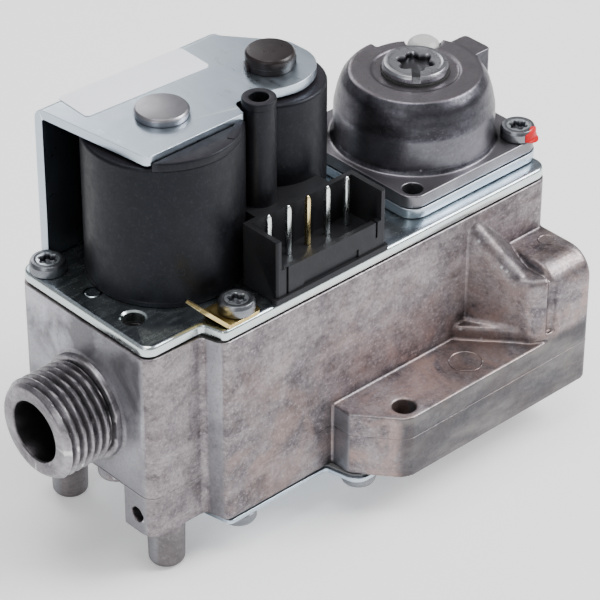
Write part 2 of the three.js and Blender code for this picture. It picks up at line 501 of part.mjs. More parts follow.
// ---------- regulator ----------
{
  const [x, y] = REG;
  const f = REG_HALF;
  let h = add(
    prismZ([[x - f, y - f, 3.4], [x + f, y - f, 3.4], [x + f, y + f, 3.4], [x - f, y + f, 3.4]], REG_PLATE_T + FIT, REG_FLANGE_T),
    turnZ(x, y, [[0, 4], [16.9, 4], [16.9, 5.3], [16.5, 6.0], [16.4, 12.5], [15.8, 15.5], [15.0, 18.2], [13.4, DOME_TOP_Z], [0, DOME_TOP_Z]], 56),
    box(x + 8, x + 17.8, y - 3.9, y + 3.4, 4, DOME_TOP_Z - 0.1),
    box(x + 8, x + 18.25, y - 3.9, y + 3.4, 4, 11.0),
  );
  const plug = [x + 9.5, y + 7.2];
  h = cut(
    h,
    rod(x, y, -1, 7.0, 13.4, 40),
    rod(x, y, -1, 9.5, 6.4, 32),
    rod(x, y, 0, 25, 5.5, 32),
    turnZ(x, y, [[0, 19.6], [7.6, 19.6], [8.2, 22], [0, 22]], 40),
    rod(...plug, 8, 25, 3.9, 24),
    ...[...Object.values(REG_SCREWS), REG_OPEN_HOLE].map(([a, b]) => rod(a, b, -1, 30, HOLE_R, 20)),
    ...Object.values(REG_SCREWS).map(([a, b]) => rod(a, b, REG_FLANGE_T, 30, 4.1, 24)),
    // the dome is cut back around the vent plug
    prismZ([26, 42, 57, 72, 88].map((a) => [11.7, a]).concat([[20, 88], [20, 57], [20, 26]]).map(([r, a]) => [x + r * Math.cos((a * Math.PI) / 180), y + r * Math.sin((a * Math.PI) / 180)]), 12, 25),
  );
  part("regulator_housing", h, M.casting);
  // sheet plate that clamps the diaphragm's rim under the housing
  const p = REG_HALF + 0.3;
  part("regulator_base_plate", cut(
    prismZ([[x - p, y - p, 3.9], [x + p, y - p, 3.9], [x + p, y + p, 3.9], [x - p, y + p, 3.9]], FIT, REG_PLATE_T),
    rod(x, y, -1, 0.9, 15.3, 40),
    rod(x, y, -1, 7.0, 13.4, 40),
    ...[...Object.values(REG_SCREWS), REG_OPEN_HOLE].map(([a, b]) => rod(a, b, -1, 30, HOLE_R, 20)),
  ), M.zinc);
  part("vent_plug", turnZ(...plug, [[0, 8.1], [3.4, 8.1], [3.4, 18.7], [3.0, 19.8], [1.8, 20.4], [0, 20.6]], 24), M.clear);
  part("diaphragm", turnZ(x, y, [[1.7, 0.1], [15.1, 0.1], [15.1, 0.7], [12.6, 0.7], [11.9, 1.3], [11.0, 1.3], [10.3, 0.7], [1.7, 0.7], [1.7, 0.1]], 36), M.rubber);
  part("regulator_stem", turnZ(x, y, [[0, -35.0], [4.6, -35.0], [4.6, -34.3], [1.5, -34.3], [1.5, 0.8], [9.0, 0.8], [9.0, 1.7], [0, 1.7]], 28), M.steel);
  part("regulator_valve_disc", ring(x, y, -34.2, -32.4, 5.8, 1.6, 28), M.rubber);
  part("regulator_spring", coilSpring(x, y, 1.8, 10.1, 4.3, 0.9, 5), M.pin);
  part("spring_seat", turnZ(x, y, [[0, 10.2], [5.3, 10.2], [5.3, 11.2], [0, 11.2]], 24), M.steel);
  part("adjusting_screw", cut(rod(x, y, 11.3, 14.2, 5.3, 28), box(x - 3.5, x + 3.5, y - 0.5, y + 0.5, 13.0, 15)), M.brass);
  part("cover_seal", ring(x, y, 19.64, 20.3, 7.05, 5.5, 36), M.rubber);
  const slot = [];
  for (let i = 0; i < 12; i++) {
    const r = i % 2 ? 2.3 : 3.1;
    slot.push([x + r * Math.cos((i * Math.PI) / 6), y + r * Math.sin((i * Math.PI) / 6)]);
  }
  const g = new THREE.BoxGeometry(1.8, 12, 3).translate(0, -7.2, 21.2 + 1.5 - 0.1).rotateZ(-0.75).translate(x, y, 0);
  part(
    "regulator_cover_screw",
    cut(turnZ(x, y, [[0, 15.5], [5.3, 15.5], [5.3, 20.34], [6.7, 20.34], [6.7, 21.5], [6.2, 22.05], [0, 22.05]], 40), prismZ(slot, 20.6, 23), solid(g)),
    M.cover,
  );
}

// ---------- pressure taps, strainer and plug ----------
TAP_Y.forEach((y, i) =>
  part(
    "tap_screw_" + (i ? "front" : "rear"),
    cut(turnZ(TAP_X, y, [[0, -43.6], [0.8, -44.2], [2.0, -45.4], [2.0, -52.6], [0, -52.6]], 20), box(TAP_X - 3, TAP_X + 3, y - 0.35, y + 0.35, -54, -51.6)),
    M.brass,
  ),
);
{
  const holes = [];
  for (let i = 0; i < 6; i++) holes.push([INLET_Y + 3.4 * Math.cos((i * Math.PI) / 3), INLET_Z + 3.4 * Math.sin((i * Math.PI) / 3)]);
  holes.push([INLET_Y, INLET_Z]);
  part("inlet_strainer", cut(rodX(INLET_Y, INLET_Z, 1.6, 2.4, 6.1, 28), ...holes.map(([y, z]) => rodX(y, z, 0, 4, 1.35, 10))), M.steel);
}
part("passage_plug", rodX(4.4, -40.9, 2.4, 4.9, 1.35, 16), M.steel);

assembly.position.set(-ORIGIN[0], -ORIGIN[1], -ORIGIN[2]);
const valve = new THREE.Group();
valve.name = "gas_valve";
valve.add(assembly);
export default valve;
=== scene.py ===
"""Looks for the solenoid gas valve. Drawing coordinates are the CAD's own, in millimetres:
x from the inlet face to the outlet, y from the front wall to the back, z = 0 on the base plate."""

import json
import math

import bmesh
import bpy
from mathutils import Matrix, Vector

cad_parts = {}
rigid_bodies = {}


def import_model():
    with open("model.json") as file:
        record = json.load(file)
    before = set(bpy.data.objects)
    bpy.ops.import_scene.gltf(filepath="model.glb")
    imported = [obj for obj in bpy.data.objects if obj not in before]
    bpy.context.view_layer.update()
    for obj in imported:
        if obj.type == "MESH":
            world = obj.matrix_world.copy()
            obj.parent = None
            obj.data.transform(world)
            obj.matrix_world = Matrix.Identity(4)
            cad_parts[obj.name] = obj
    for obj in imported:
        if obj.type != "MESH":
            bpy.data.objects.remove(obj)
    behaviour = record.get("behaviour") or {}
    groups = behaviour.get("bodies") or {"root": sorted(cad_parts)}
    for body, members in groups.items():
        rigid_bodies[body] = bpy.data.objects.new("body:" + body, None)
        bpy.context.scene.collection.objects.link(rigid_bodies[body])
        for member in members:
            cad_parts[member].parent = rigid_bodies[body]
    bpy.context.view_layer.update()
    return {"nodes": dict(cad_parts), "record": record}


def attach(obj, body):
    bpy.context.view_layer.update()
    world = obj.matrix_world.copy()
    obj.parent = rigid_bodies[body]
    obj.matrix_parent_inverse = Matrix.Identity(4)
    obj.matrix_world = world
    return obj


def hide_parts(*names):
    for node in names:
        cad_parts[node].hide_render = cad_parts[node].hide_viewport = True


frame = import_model()
OX, OY, OZ = 45.35, 9.875, -54.9
SCENE = bpy.context.scene


def m3(x, y, z):
    return Vector(((x - OX) / 1000, (y - OY) / 1000, (z - OZ) / 1000))


# ------------------------------------------------------------------ mesh tools (millimetres)
def rounded(pts, closed=True, step=12.0):
    """Polyline whose corners (x, y, r) are rounded."""
    out = []
    n = len(pts)
    for i, p in enumerate(pts):
        x, y = p[0], p[1]
        r = p[2] if len(p) > 2 else 0
        if not r or (not closed and i in (0, n - 1)):
            out.append((x, y))
            continue
        a = Vector((pts[i - 1][0] - x, pts[i - 1][1] - y)).normalized()
        b = Vector((pts[(i + 1) % n][0] - x, pts[(i + 1) % n][1] - y)).normalized()
        half = math.acos(max(-1, min(1, a.dot(b)))) / 2
        if half > 1.56 or half < 0.02:
            out.append((x, y))
            continue
        d = r / math.tan(half)
        c = Vector((x, y)) + (a + b).normalized() * (r / math.sin(half))
        s = Vector((x, y)) + a * d - c
        e = Vector((x, y)) + b * d - c
        a0 = math.atan2(s.y, s.x)
        da = math.atan2(e.y, e.x) - a0
        if da > math.pi:
            da -= 2 * math.pi
        if da < -math.pi:
            da += 2 * math.pi
        k = max(2, int(abs(math.degrees(da)) / step))
        for j in range(k + 1):
            t = a0 + da * j / k
            out.append((c.x + r * math.cos(t), c.y + r * math.sin(t)))
    return out


def inset(poly, d):
    """Closed outline moved in by d (to its left when it runs anticlockwise)."""
    area = sum(p[0] * q[1] - q[0] * p[1] for p, q in zip(poly, poly[1:] + poly[:1]))
    if area < 0:
        d = -d
    n = len(poly)
    res = []
    for i in range(n):
        p, c, q = (Vector(poly[i - 1]), Vector(poly[i]), Vector(poly[(i + 1) % n]))
        e1 = (c - p).normalized() if (c - p).length > 1e-9 else (q - c).normalized()
        e2 = (q - c).normalized() if (q - c).length > 1e-9 else e1
        n1, n2 = Vector((-e1.y, e1.x)), Vector((-e2.y, e2.x))
        m = n1 + n2
        k = 1 + n1.dot(n2)
        m = m / k if k > 0.2 else n1
        res.append((c.x + m.x * d, c.y + m.y * d))
    return res


def raw(verts, faces):
    me = bpy.data.meshes.new("w")
    me.from_pydata(verts, [], faces)
    me.update()
    bm = bmesh.new()
    bm.from_mesh(me)
    bmesh.ops.remove_doubles(bm, verts=bm.verts, dist=1e-5)
    bmesh.ops.recalc_face_normals(bm, faces=bm.faces)
    bm.to_mesh(me)
    bm.free()
    o = bpy.data.objects.new("w", me)
    SCENE.collection.objects.link(o)
    return o


AXES = {
    "z": lambda u, v, w: (u, v, w),
    "x": lambda u, v, w: (w, u, v),
    "y": lambda u, v, w: (u, w, v),
}


def stack(layers, axis="z"):
    """Solid from equal-length outlines: [(height, outline), ...]."""
    f = AXES[axis]
    n = len(layers[0][1])
    verts = [f(p[0], p[1], h) for h, poly in layers for p in poly]
    faces = [tuple(range(n)), tuple(range(len(verts) - n, len(verts)))]
    for k in range(len(layers) - 1):
        for i in range(n):
            j = (i + 1) % n
            faces.append((k * n + i, k * n + j, (k + 1) * n + j, (k + 1) * n + i))
    return raw(verts, faces)


def prism(pts, w0, w1, top=0.0, bottom=0.0, axis="z", step=12.0):
    """Extruded outline with rounded rims of radius top and bottom."""
    poly = rounded(pts, True, step)
    layers = []
    if bottom:
        for k in range(4):
            a = math.pi / 2 * k / 4
            layers.append((w0 + bottom * (1 - math.sin(a)), inset(poly, bottom * (1 - math.cos(a)))))
        layers = [(w0 + bottom - bottom * math.cos(math.pi / 2 * k / 4), inset(poly, bottom * (1 - math.sin(math.pi / 2 * k / 4)))) for k in range(5)]
    else:
        layers = [(w0, poly)]
    if top:
        layers += [(w1 - top + top * math.sin(math.pi / 2 * k / 4), inset(poly, top * (1 - math.cos(math.pi / 2 * k / 4)))) for k in range(5)]
    else:
        layers.append((w1, poly))
    return stack(layers, axis)


def lathe(profile, c=(0, 0), axis="z", seg=96, closed=False, step=15.0):
    """Turned solid. profile: (radius, height, rounding). c: the axis in the other two coordinates."""
    f = AXES[axis]
    pr = rounded(profile, closed, step)
    verts, rows = [], []
    for r, h in pr:
        if r < 1e-6:
            rows.append([len(verts)])
            verts.append(f(c[0], c[1], h))
        else:
            rows.append(list(range(len(verts), len(verts) + seg)))
            for k in range(seg):
                a = 2 * math.pi * k / seg
                verts.append(f(c[0] + r * math.cos(a), c[1] + r * math.sin(a), h))
    faces = []
    pairs = list(zip(rows, rows[1:]))
    if closed:
        pairs.append((rows[-1], rows[0]))
    for a, b in pairs:
        for k in range(seg):
            j = (k + 1) % seg
            if len(a) == 1 and len(b) == 1:
                continue
            if len(a) == 1:
                faces.append((a[0], b[j], b[k]))
            elif len(b) == 1:
                faces.append((a[k], a[j], b[0]))
            else:
                faces.append((a[k], a[j], b[j], b[k]))
    return raw(verts, faces)


def rod(c, w0, w1, r, axis="z", seg=48):
    return lathe([(0, w0), (r, w0), (r, w1), (0, w1)], c, axis, seg)


def box(x0, x1, y0, y1, z0, z1):
    return prism([(x0, y0), (x1, y0), (x1, y1), (x0, y1)], z0, z1)


def applied(o):
    dg = bpy.context.evaluated_depsgraph_get()
    dg.update()
    me = bpy.data.meshes.new_from_object(o.evaluated_get(dg))
    old = o.data
    o.modifiers.clear()
    o.data = me
    bpy.data.meshes.remove(old)
    return o


def csg(a, op, others):
    others = [o for o in others if o]
    if not others:
        return a
    col = bpy.data.collections.new("ops")
    SCENE.collection.children.link(col)
    for o in others:
        SCENE.collection.objects.unlink(o)
        col.objects.link(o)
    m = a.modifiers.new("b", "BOOLEAN")
    m.operation = op
    m.operand_type = "COLLECTION"
    m.collection = col
    m.solver = "EXACT"
    applied(a)
    for o in list(col.objects):
        me = o.data
        bpy.data.objects.remove(o)
        bpy.data.meshes.remove(me)
    bpy.data.collections.remove(col)
    return a


def join(a, *o):
    for x in o:
        a = csg(a, "UNION", [x])
    return a


def cut(a, *o):
    return csg(a, "DIFFERENCE", list(o))


def cast(o, voxel=0.4, smooth=3):
    """Rounds every edge of a solid as a casting's are."""
    m = o.modifiers.new("r", "REMESH")
    m.mode = "VOXEL"
    m.voxel_size = voxel
    m.use_smooth_shade = True
    s = o.modifiers.new("s", "SMOOTH")
    s.factor = 0.5
    s.iterations = smooth
    return applied(o)


def soften(o, width=0.25, seg=3, angle=35):
    m = o.modifiers.new("v", "BEVEL")
    m.width = width
    m.segments = seg
    m.limit_method = "ANGLE"
    m.angle_limit = math.radians(angle)
    m.use_clamp_overlap = True
    return applied(o)


def piece(o, name, mat, body="valve", stands_for=(), angle=32, weighted=False):
    """Gives a finished solid its name, material and body, in metres."""
    me = o.data
    for v in me.vertices:
        v.co = m3(*v.co)
    me.materials.clear()
    me.materials.append(mat)
    me.shade_smooth()
    if angle:
        me.set_sharp_from_angle(angle=math.radians(angle))
    me.name = name
    o.name = name
    if weighted:
        w = o.modifiers.new("n", "WEIGHTED_NORMAL")
        w.keep_sharp = True
        applied(o)
    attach(o, body)
    if stands_for:
        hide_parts(*([stands_for] if isinstance(stands_for, str) else stands_for))
    return o


INL = (18.6, -22.15)  # inlet axis in y and z


# ------------------------------------------------------------------ materials
class Nodes:
    def __init__(self, name):
        self.mat = bpy.data.materials.new(name)
        self.mat.use_nodes = True
        self.t = self.mat.node_tree
        self.bsdf = self.t.nodes["Principled BSDF"]
        self.co = self.t.nodes.new("ShaderNodeTexCoord").outputs["Object"]

    def new(self, kind, **kw):
        n = self.t.nodes.new(kind)
        for k, v in kw.items():
            setattr(n, k, v)
        return n

    def link(self, a, b):
        self.t.links.new(a, b)

    def set(self, **kw):
        for k, v in kw.items():
            self.bsdf.inputs[k.replace("_", " ")].default_value = v

    def noise(self, scale, detail=4.0, rough=0.6, stretch=None, dist=0.0):
        co = self.co
        if stretch:
            m = self.new("ShaderNodeMapping")
            m.inputs["Scale"].default_value = stretch
            self.link(self.co, m.inputs["Vector"])
            co = m.outputs["Vector"]
        n = self.new("ShaderNodeTexNoise")
        n.inputs["Scale"].default_value = scale
        n.inputs["Detail"].default_value = detail
        n.inputs["Roughness"].default_value = rough
        n.inputs["Distortion"].default_value = dist
        self.link(co, n.inputs["Vector"])
        return n.outputs["Fac"]

    def ramp(self, src, *stops):
        r = self.new("ShaderNodeValToRGB")
        el = r.color_ramp.elements
        el[0].position, el[0].color = stops[0][0], (*stops[0][1], 1)
        el[1].position, el[1].color = stops[-1][0], (*stops[-1][1], 1)
        for p, c in stops[1:-1]:
            e = el.new(p)
            e.color = (*c, 1)
        self.link(src, r.inputs["Fac"])
        return r.outputs["Color"]

    def span(self, src, a, b, lo, hi):
        r = self.new("ShaderNodeMapRange")
        for k, v in zip(("From Min", "From Max", "To Min", "To Max"), (a, b, lo, hi)):
            r.inputs[k].default_value = v
        self.link(src, r.inputs["Value"])
        return r.outputs["Result"]

    def math(self, op, a, b=None):
        n = self.new("ShaderNodeMath", operation=op)
        for i, v in enumerate((a, b)):
            if v is None:
                continue
            if isinstance(v, (int, float)):
                n.inputs[i].default_value = v
            else:
                self.link(v, n.inputs[i])
        return n.outputs[0]

    def mix(self, fac, a, b, mode="MIX"):
        n = self.new("ShaderNodeMix", data_type="RGBA", blend_type=mode)
        for s, v in ((n.inputs[0], fac), (n.inputs[6], a), (n.inputs[7], b)):
            if isinstance(v, (int, float)):
                s.default_value = v
            elif isinstance(v, tuple):
                s.default_value = (*v, 1)
            else:
                self.link(v, s)
        return n.outputs[2]

    def bump(self, *layers):
        """layers: (height, distance in metres, strength)."""
        last = None
        for h, d, s in layers:
            b = self.new("ShaderNodeBump")
            b.inputs["Distance"].default_value = d
            b.inputs["Strength"].default_value = s
            self.link(h, b.inputs["Height"])
            if last:
                self.link(last, b.inputs["Normal"])
            last = b.outputs["Normal"]
        self.link(last, self.bsdf.inputs["Normal"])

    def edge(self, lo=0.5, hi=0.56):
        g = self.new("ShaderNodeNewGeometry")
        return self.span(g.outputs["Pointiness"], lo, hi, 0, 1)

    def position(self):
        s = self.new("ShaderNodeSeparateXYZ")
        self.link(self.co, s.inputs[0])
        return s.outputs

    def normal(self):
        g = self.new("ShaderNodeNewGeometry")
        s = self.new("ShaderNodeSeparateXYZ")
        self.link(g.outputs["Normal"], s.inputs[0])
        return s.outputs


def casting(name, dark, mid, light, edge=(0.66, 0.65, 0.68), face=None, rough=(0.34, 0.50), low=True, grain=1.0, bore=False, painted_crevice_shade=0.75, top=None, foot=None, band=None):
    k = Nodes(name)
    n1 = k.noise(48, 5, 0.62, dist=0.6)
    n2 = k.noise(230, 6, 0.68, dist=0.3)
    n3 = k.noise(1500, 4, 0.7)
    n4 = k.noise(4200, 2, 0.6)
    f = k.math("ADD", k.math("MULTIPLY", n1, 0.5), k.math("MULTIPLY", n2, 0.5))
    col = k.ramp(f, (0.39, dark), (0.49, mid), (0.60, light))
    # flow marks: long pale and dark streaks
    fl = k.noise(80, 6, 0.72, stretch=(0.35, 1, 1.7), dist=1.4)
    col = k.mix(k.span(fl, 0.52, 0.68, 0, 0.45), col, tuple(min(1, 1.35 * c) for c in light))
    col = k.mix(k.span(fl, 0.47, 0.33, 0, 0.55), col, tuple(0.72 * c for c in dark))
    # grain: dark pits and bright crystals
    col = k.mix(k.span(n3, 0.53, 0.72, 0, 0.55 * grain), col, tuple(0.45 * c for c in dark))
    col = k.mix(k.span(n3, 0.46, 0.30, 0, 0.50 * grain), col, tuple(min(1, 1.6 * c) for c in light))
    col = k.mix(k.span(n4, 0.55, 0.75, 0, 0.35 * grain), col, tuple(0.5 * c for c in dark))
    z = k.position()[2]
    if low:
        warm = k.noise(95, 5, 0.7, dist=1.0)
        p0 = k.position()
        near = k.math("MULTIPLY", k.span(p0[1], -0.0130, -0.0165, 0, 1), k.span(z, 0.052, 0.024, 0, 1))
        col = k.mix(k.math("MULTIPLY", k.span(warm, 0.42, 0.62, 0, 0.75), k.math("ADD", 0.10, k.math("MULTIPLY", near, 0.80))), col, (0.38, 0.268, 0.232))
        col = k.mix(k.span(z, 0.0202, 0.0186, 0, 0.10), col, tuple(0.9 * c for c in mid))
        col = k.mix(k.span(z, 0.0105, 0.0085, 0, 0.62), col, (0.115, 0.11, 0.112))
    # painted light: faces turned upwards get the lighter top colour
    if top:
        tc = k.mix(k.span(n2, 0.4, 0.62, 0, 0.7), top, tuple(0.62 * c for c in top))
        col = k.mix(k.span(k.normal()[2], 0.72, 0.95, 0, 0.75), col, tc)
    if foot:
        col = k.mix(k.span(z, 0.0602, 0.0599, 0, 0.7), col, k.mix(k.span(n1, 0.38, 0.6, 0, 0.8), foot, tuple(0.5 * c for c in foot)))
    if face:
        p1 = k.position()
        wf = k.math("MULTIPLY", k.span(p1[1], -0.0270, -0.0284, 0, 0.85), k.span(z, 0.0256, 0.0240, 0, 1))
        wf = k.math("MULTIPLY", wf, k.span(k.normal()[2], 0.8, 0.5, 0, 1))
        wc2 = k.mix(k.span(k.noise(140, 5, 0.7, stretch=(0.4, 1, 1)), 0.42, 0.62, 0, 1), (0.055, 0.055, 0.062), (0.15, 0.145, 0.145))
        col = k.mix(wf, col, wc2)
        # painted light: faces turned to -X get the lighter bluish face tone, shaded darker towards the bottom
        nx = k.normal()[0]
        fc = k.ramp(k.noise(60, 4, 0.6, dist=0.8), (0.38, tuple(0.42 * c for c in face)), (0.5, face), (0.62, tuple(min(1, 1.35 * c) for c in face)))
        fc = k.mix(k.span(n3, 0.5, 0.72, 0, 0.4), fc, tuple(0.4 * c for c in face))
        fc = k.mix(k.span(z, 0.040, 0.020, 0, 0.75), fc, tuple(0.40 * c for c in face))
        col = k.mix(k.span(nx, -0.90, -0.985, 0, 0.85), col, fc)
    # painted shade: the inside of the inlet bore is painted near-black
    if bore:
        p = k.position()
        dy = k.math("SUBTRACT", p[1], (INL[0] - OY) / 1000)
        dz = k.math("SUBTRACT", p[2], (INL[1] - OZ) / 1000)
        rr = k.math("SQRT", k.math("ADD", k.math("MULTIPLY", dy, dy), k.math("MULTIPLY", dz, dz)))
        col = k.mix(k.span(rr, 0.0067, 0.0063, 0, 0.95), col, (0.018, 0.016, 0.018))
    e = k.edge(0.535, 0.63)
    # painted reflection, partly the wall's own two finishes: the dome wall is darkened above band[1], lightened below
    # it, and its edge highlight is calmed there
    if band:
        wob = k.math("MULTIPLY", k.math("SUBTRACT", n2, 0.5), 0.0010)
        zb = k.math("ADD", z, wob)
        body = k.math("MULTIPLY", k.span(z, band[0] + 0.0003, band[0] + 0.0008, 0, 1), k.span(k.normal()[2], 0.75, 0.55, 0, 1))
        col = k.mix(k.math("MULTIPLY", body, k.span(zb, band[1] + 0.0001, band[1] + 0.0006, 0, 0.55)), col, (0.040, 0.038, 0.046))
        col = k.mix(k.math("MULTIPLY", body, k.span(zb, band[1], band[1] - 0.0005, 0, 0.45)), col, (0.185, 0.182, 0.205))
        calm = k.math("MULTIPLY", k.span(z, band[0] + 0.0005, band[0] + 0.0010, 0, 1), k.span(z, 0.0734, 0.0730, 0, 1))
        e = k.math("MULTIPLY", e, k.math("SUBTRACT", 1.0, calm))
    # painted highlight: convex edges found by pointiness are lightened to the edge colour
    col = k.mix(k.math("MULTIPLY", e, k.span(n2, 0.35, 0.6, 0.4, 1.0)), col, edge)
    # painted shade: crevices and recesses are darkened towards near-black by an ambient-occlusion mask
    ao = k.new("ShaderNodeAmbientOcclusion", samples=6, only_local=False)
    ao.inputs["Distance"].default_value = 0.004
    col = k.mix(k.span(ao.outputs["AO"], 0.72, 0.25, 0, painted_crevice_shade), col, (0.035, 0.033, 0.036))
    k.link(col, k.bsdf.inputs["Base Color"])
    r = k.span(k.math("ADD", k.math("MULTIPLY", n2, 0.5), k.math("MULTIPLY", n3, 0.5)), 0.35, 0.65, *rough)
    k.link(k.math("SUBTRACT", r, k.math("MULTIPLY", e, 0.1)), k.bsdf.inputs["Roughness"])
    k.set(Metallic=0.9)
    k.bump((n1, 0.0005, 0.3), (n2, 0.00016, 0.45), (n3, 0.00006, 0.55 * grain), (n4, 0.00002, 0.5 * grain))
    return k.mat


def plated(name, a, b, rough=(0.22, 0.36), stretch=(0.12, 1, 1), edge=(0.86, 0.93, 0.92), scale=900, metal=1.0, spot=0.25, side=None, painted_crevice_shade=0.7, grain=0.0, inner=False, pit=None, edges=1.0):
    k = Nodes(name)
    n1 = k.noise(38, 4, 0.55, dist=0.5)
    n2 = k.noise(scale, 4, 0.6, stretch=stretch)
    n3 = k.noise(420, 5, 0.7)
    col = k.ramp(n1, (0.35, a), (0.65, b))
    col = k.mix(k.span(n3, 0.55, 0.75, 0, spot), col, tuple(0.72 * c for c in a))
    col = k.mix(k.span(n2, 0.4, 0.7, 0, 0.16), col, tuple(min(1, 1.2 * c) for c in b))
    if grain:
        n4 = k.noise(2600, 3, 0.65)
        col = k.mix(k.span(n4, 0.52, 0.72, 0, grain), col, tuple(0.45 * c for c in a))
        col = k.mix(k.span(n4, 0.46, 0.30, 0, grain), col, tuple(min(1, 1.4 * c) for c in b))
    # painted light: steep faces and rims get the lighter side colour
    if side:
        nz = k.normal()[2]
        col = k.mix(k.span(k.math("ABSOLUTE", nz), 0.85, 0.55, 0, 0.85), col, side)
    # painted shade: the -Y-facing inner face of the yoke's back leg is darkened
    if inner:
        far = k.math("MULTIPLY", k.span(k.normal()[1], -0.7, -0.95, 0, 0.9), k.span(k.position()[1], 0.018, 0.022, 0, 1))
        col = k.mix(far, col, tuple(0.18 * c for c in a))
    # painted highlight: convex edges found by pointiness are lightened to the edge colour
    e = k.edge(0.52, 0.62)
    col = k.mix(k.math("MULTIPLY", e, edges), col, edge)
    # painted shade: the floor of the screw's lobed recess is painted near-black
    if pit:
        pp = k.position()
        dx, dy = k.math("SUBTRACT", pp[0], pit[0]), k.math("SUBTRACT", pp[1], pit[1])
        rad = k.math("SQRT", k.math("ADD", k.math("MULTIPLY", dx, dx), k.math("MULTIPLY", dy, dy)))
        deep = k.math("MULTIPLY", k.span(pp[2], pit[3], pit[3] - 0.0006, 0, 0.85), k.span(rad, pit[2], pit[2] - 0.0003, 0, 1))
        col = k.mix(deep, col, (0.04, 0.04, 0.045))
    # painted shade: crevices and recesses are darkened towards near-black by an ambient-occlusion mask
    ao = k.new("ShaderNodeAmbientOcclusion", samples=6, only_local=False)
    ao.inputs["Distance"].default_value = 0.003
    col = k.mix(k.span(ao.outputs["AO"], 0.68, 0.25, 0, painted_crevice_shade), col, (0.03, 0.03, 0.033))
    k.link(col, k.bsdf.inputs["Base Color"])
    k.link(k.span(k.math("ADD", k.math("MULTIPLY", n3, 0.5), k.math("MULTIPLY", n2, 0.5)), 0.35, 0.65, *rough), k.bsdf.inputs["Roughness"])
    k.set(Metallic=metal)
    k.bump((n1, 0.0002, 0.12), (n2, 0.00002, 0.35), (n3, 0.00003, 0.25))
    return k.mat


def plastic(name, col0, col1, rough=(0.42, 0.56), grain=2600, depth=0.00004, top=None, spec=0.5, speck=0.0, tint=None):
    k = Nodes(name)
    n1 = k.noise(70, 4, 0.6)
    n2 = k.noise(grain, 3, 0.6)
    n3 = k.noise(520, 4, 0.65)
    col = k.mix(k.span(n1, 0.35, 0.65, 0, 1), col0, col1)
    # painted light: faces turned upwards are lighter than the sides
    if top:
        col = k.mix(k.span(k.normal()[2], 0.9, 0.98, 0, 1), col, top)
    col = k.mix(k.span(n3, 0.62, 0.8, 0, 0.35), col, tuple(min(1, c * 2.2 + 0.01) for c in col1))
    if speck:
        n4 = k.noise(1700, 3, 0.7)
        n5 = k.noise(900, 4, 0.75)
        col = k.mix(k.span(n4, 0.54, 0.70, 0, 0.55 * speck), col, tuple(c * 3.2 + 0.008 for c in col1))
        col = k.mix(k.span(n5, 0.60, 0.74, 0, 0.5 * speck), col, tuple(c * 4.0 + 0.014 for c in col1))
    # painted highlight: convex edges found by pointiness are lightened
    col = k.mix(k.math("MULTIPLY", k.edge(0.52, 0.62), 0.35), col, tuple(min(1, c * 2.4 + 0.02) for c in col1))
    k.link(col, k.bsdf.inputs["Base Color"])
    k.link(k.span(n3, 0.3, 0.7, *rough), k.bsdf.inputs["Roughness"])
    k.bsdf.inputs["Specular IOR Level"].default_value = spec
    if tint:
        k.bsdf.inputs["Specular Tint"].default_value = (*tint, 1)
    k.bump((n1, 0.0003, 0.08), (n2, depth, 0.6))
    return k.mat


M_CAST = casting("die_casting", (0.085, 0.074, 0.082), (0.190, 0.170, 0.182), (0.315, 0.288, 0.300), face=(0.43, 0.435, 0.475))
M_DOME = casting("dome_casting", (0.042, 0.040, 0.050), (0.092, 0.090, 0.108), (0.15, 0.145, 0.17), low=False, top=(0.235, 0.212, 0.232), foot=(0.30, 0.295, 0.315), band=(0.0609, 0.0678), rough=(0.26, 0.42), edge=(0.62, 0.61, 0.65), grain=0.8)
M_THREAD = casting("machined_thread", (0.15, 0.14, 0.155), (0.26, 0.245, 0.262), (0.38, 0.365, 0.385), low=False, rough=(0.26, 0.40), edge=(0.74, 0.73, 0.75), grain=0.45, bore=True)
M_PLATE = plated("zinc_plate", (0.27, 0.315, 0.36), (0.40, 0.45, 0.50), rough=(0.18, 0.32), edge=(0.84, 0.92, 0.90), side=(0.66, 0.73, 0.72), spot=0.12)
M_YOKE = plated("zinc_yoke", (0.42, 0.50, 0.59), (0.53, 0.61, 0.69), rough=(0.26, 0.38), stretch=(1, 0.12, 1), spot=0.06, edge=(0.85, 0.91, 0.95), inner=True)
M_SCREW = plated("screw_steel", (0.15, 0.158, 0.175), (0.26, 0.27, 0.29), rough=(0.28, 0.42), edge=(0.66, 0.69, 0.73), scale=1500, stretch=(1, 1, 1), grain=0.25)
M_POLE = plated("turned_steel", (0.24, 0.235, 0.26), (0.33, 0.325, 0.35), rough=(0.28, 0.42), edge=(0.82, 0.82, 0.86), scale=1200, stretch=(0.25, 1, 1), spot=0.08)
M_COVER = plated("milled_cover", (0.27, 0.27, 0.295), (0.40, 0.40, 0.425), rough=(0.24, 0.38), edge=(0.72, 0.72, 0.76), scale=1300, stretch=(1, 0.2, 1), grain=0.04, spot=0.08, pit=((85.6 - OX) / 1000, (16.65 - OY) / 1000, 0.0044, (21.75 - OZ) / 1000), edges=0.2)
M_PIN = plated("tinned_pin", (0.50, 0.50, 0.49), (0.70, 0.70, 0.68), rough=(0.18, 0.32), scale=1500, stretch=(1, 1, 0.1), painted_crevice_shade=0.2)
M_GOLD = plated("gold_pin", (0.55, 0.36, 0.09), (0.74, 0.53, 0.17), rough=(0.2, 0.34), edge=(0.95, 0.8, 0.42), scale=1500, stretch=(1, 1, 0.1), painted_crevice_shade=0.2)
M_BRASS = plated("yellow_passivated", (0.46, 0.33, 0.10), (0.64, 0.49, 0.20), rough=(0.24, 0.38), edge=(0.90, 0.78, 0.45), scale=900, stretch=(0.2, 1, 1))
M_WIRE = plated("bright_wire", (0.55, 0.55, 0.55), (0.72, 0.72, 0.72), rough=(0.2, 0.34))
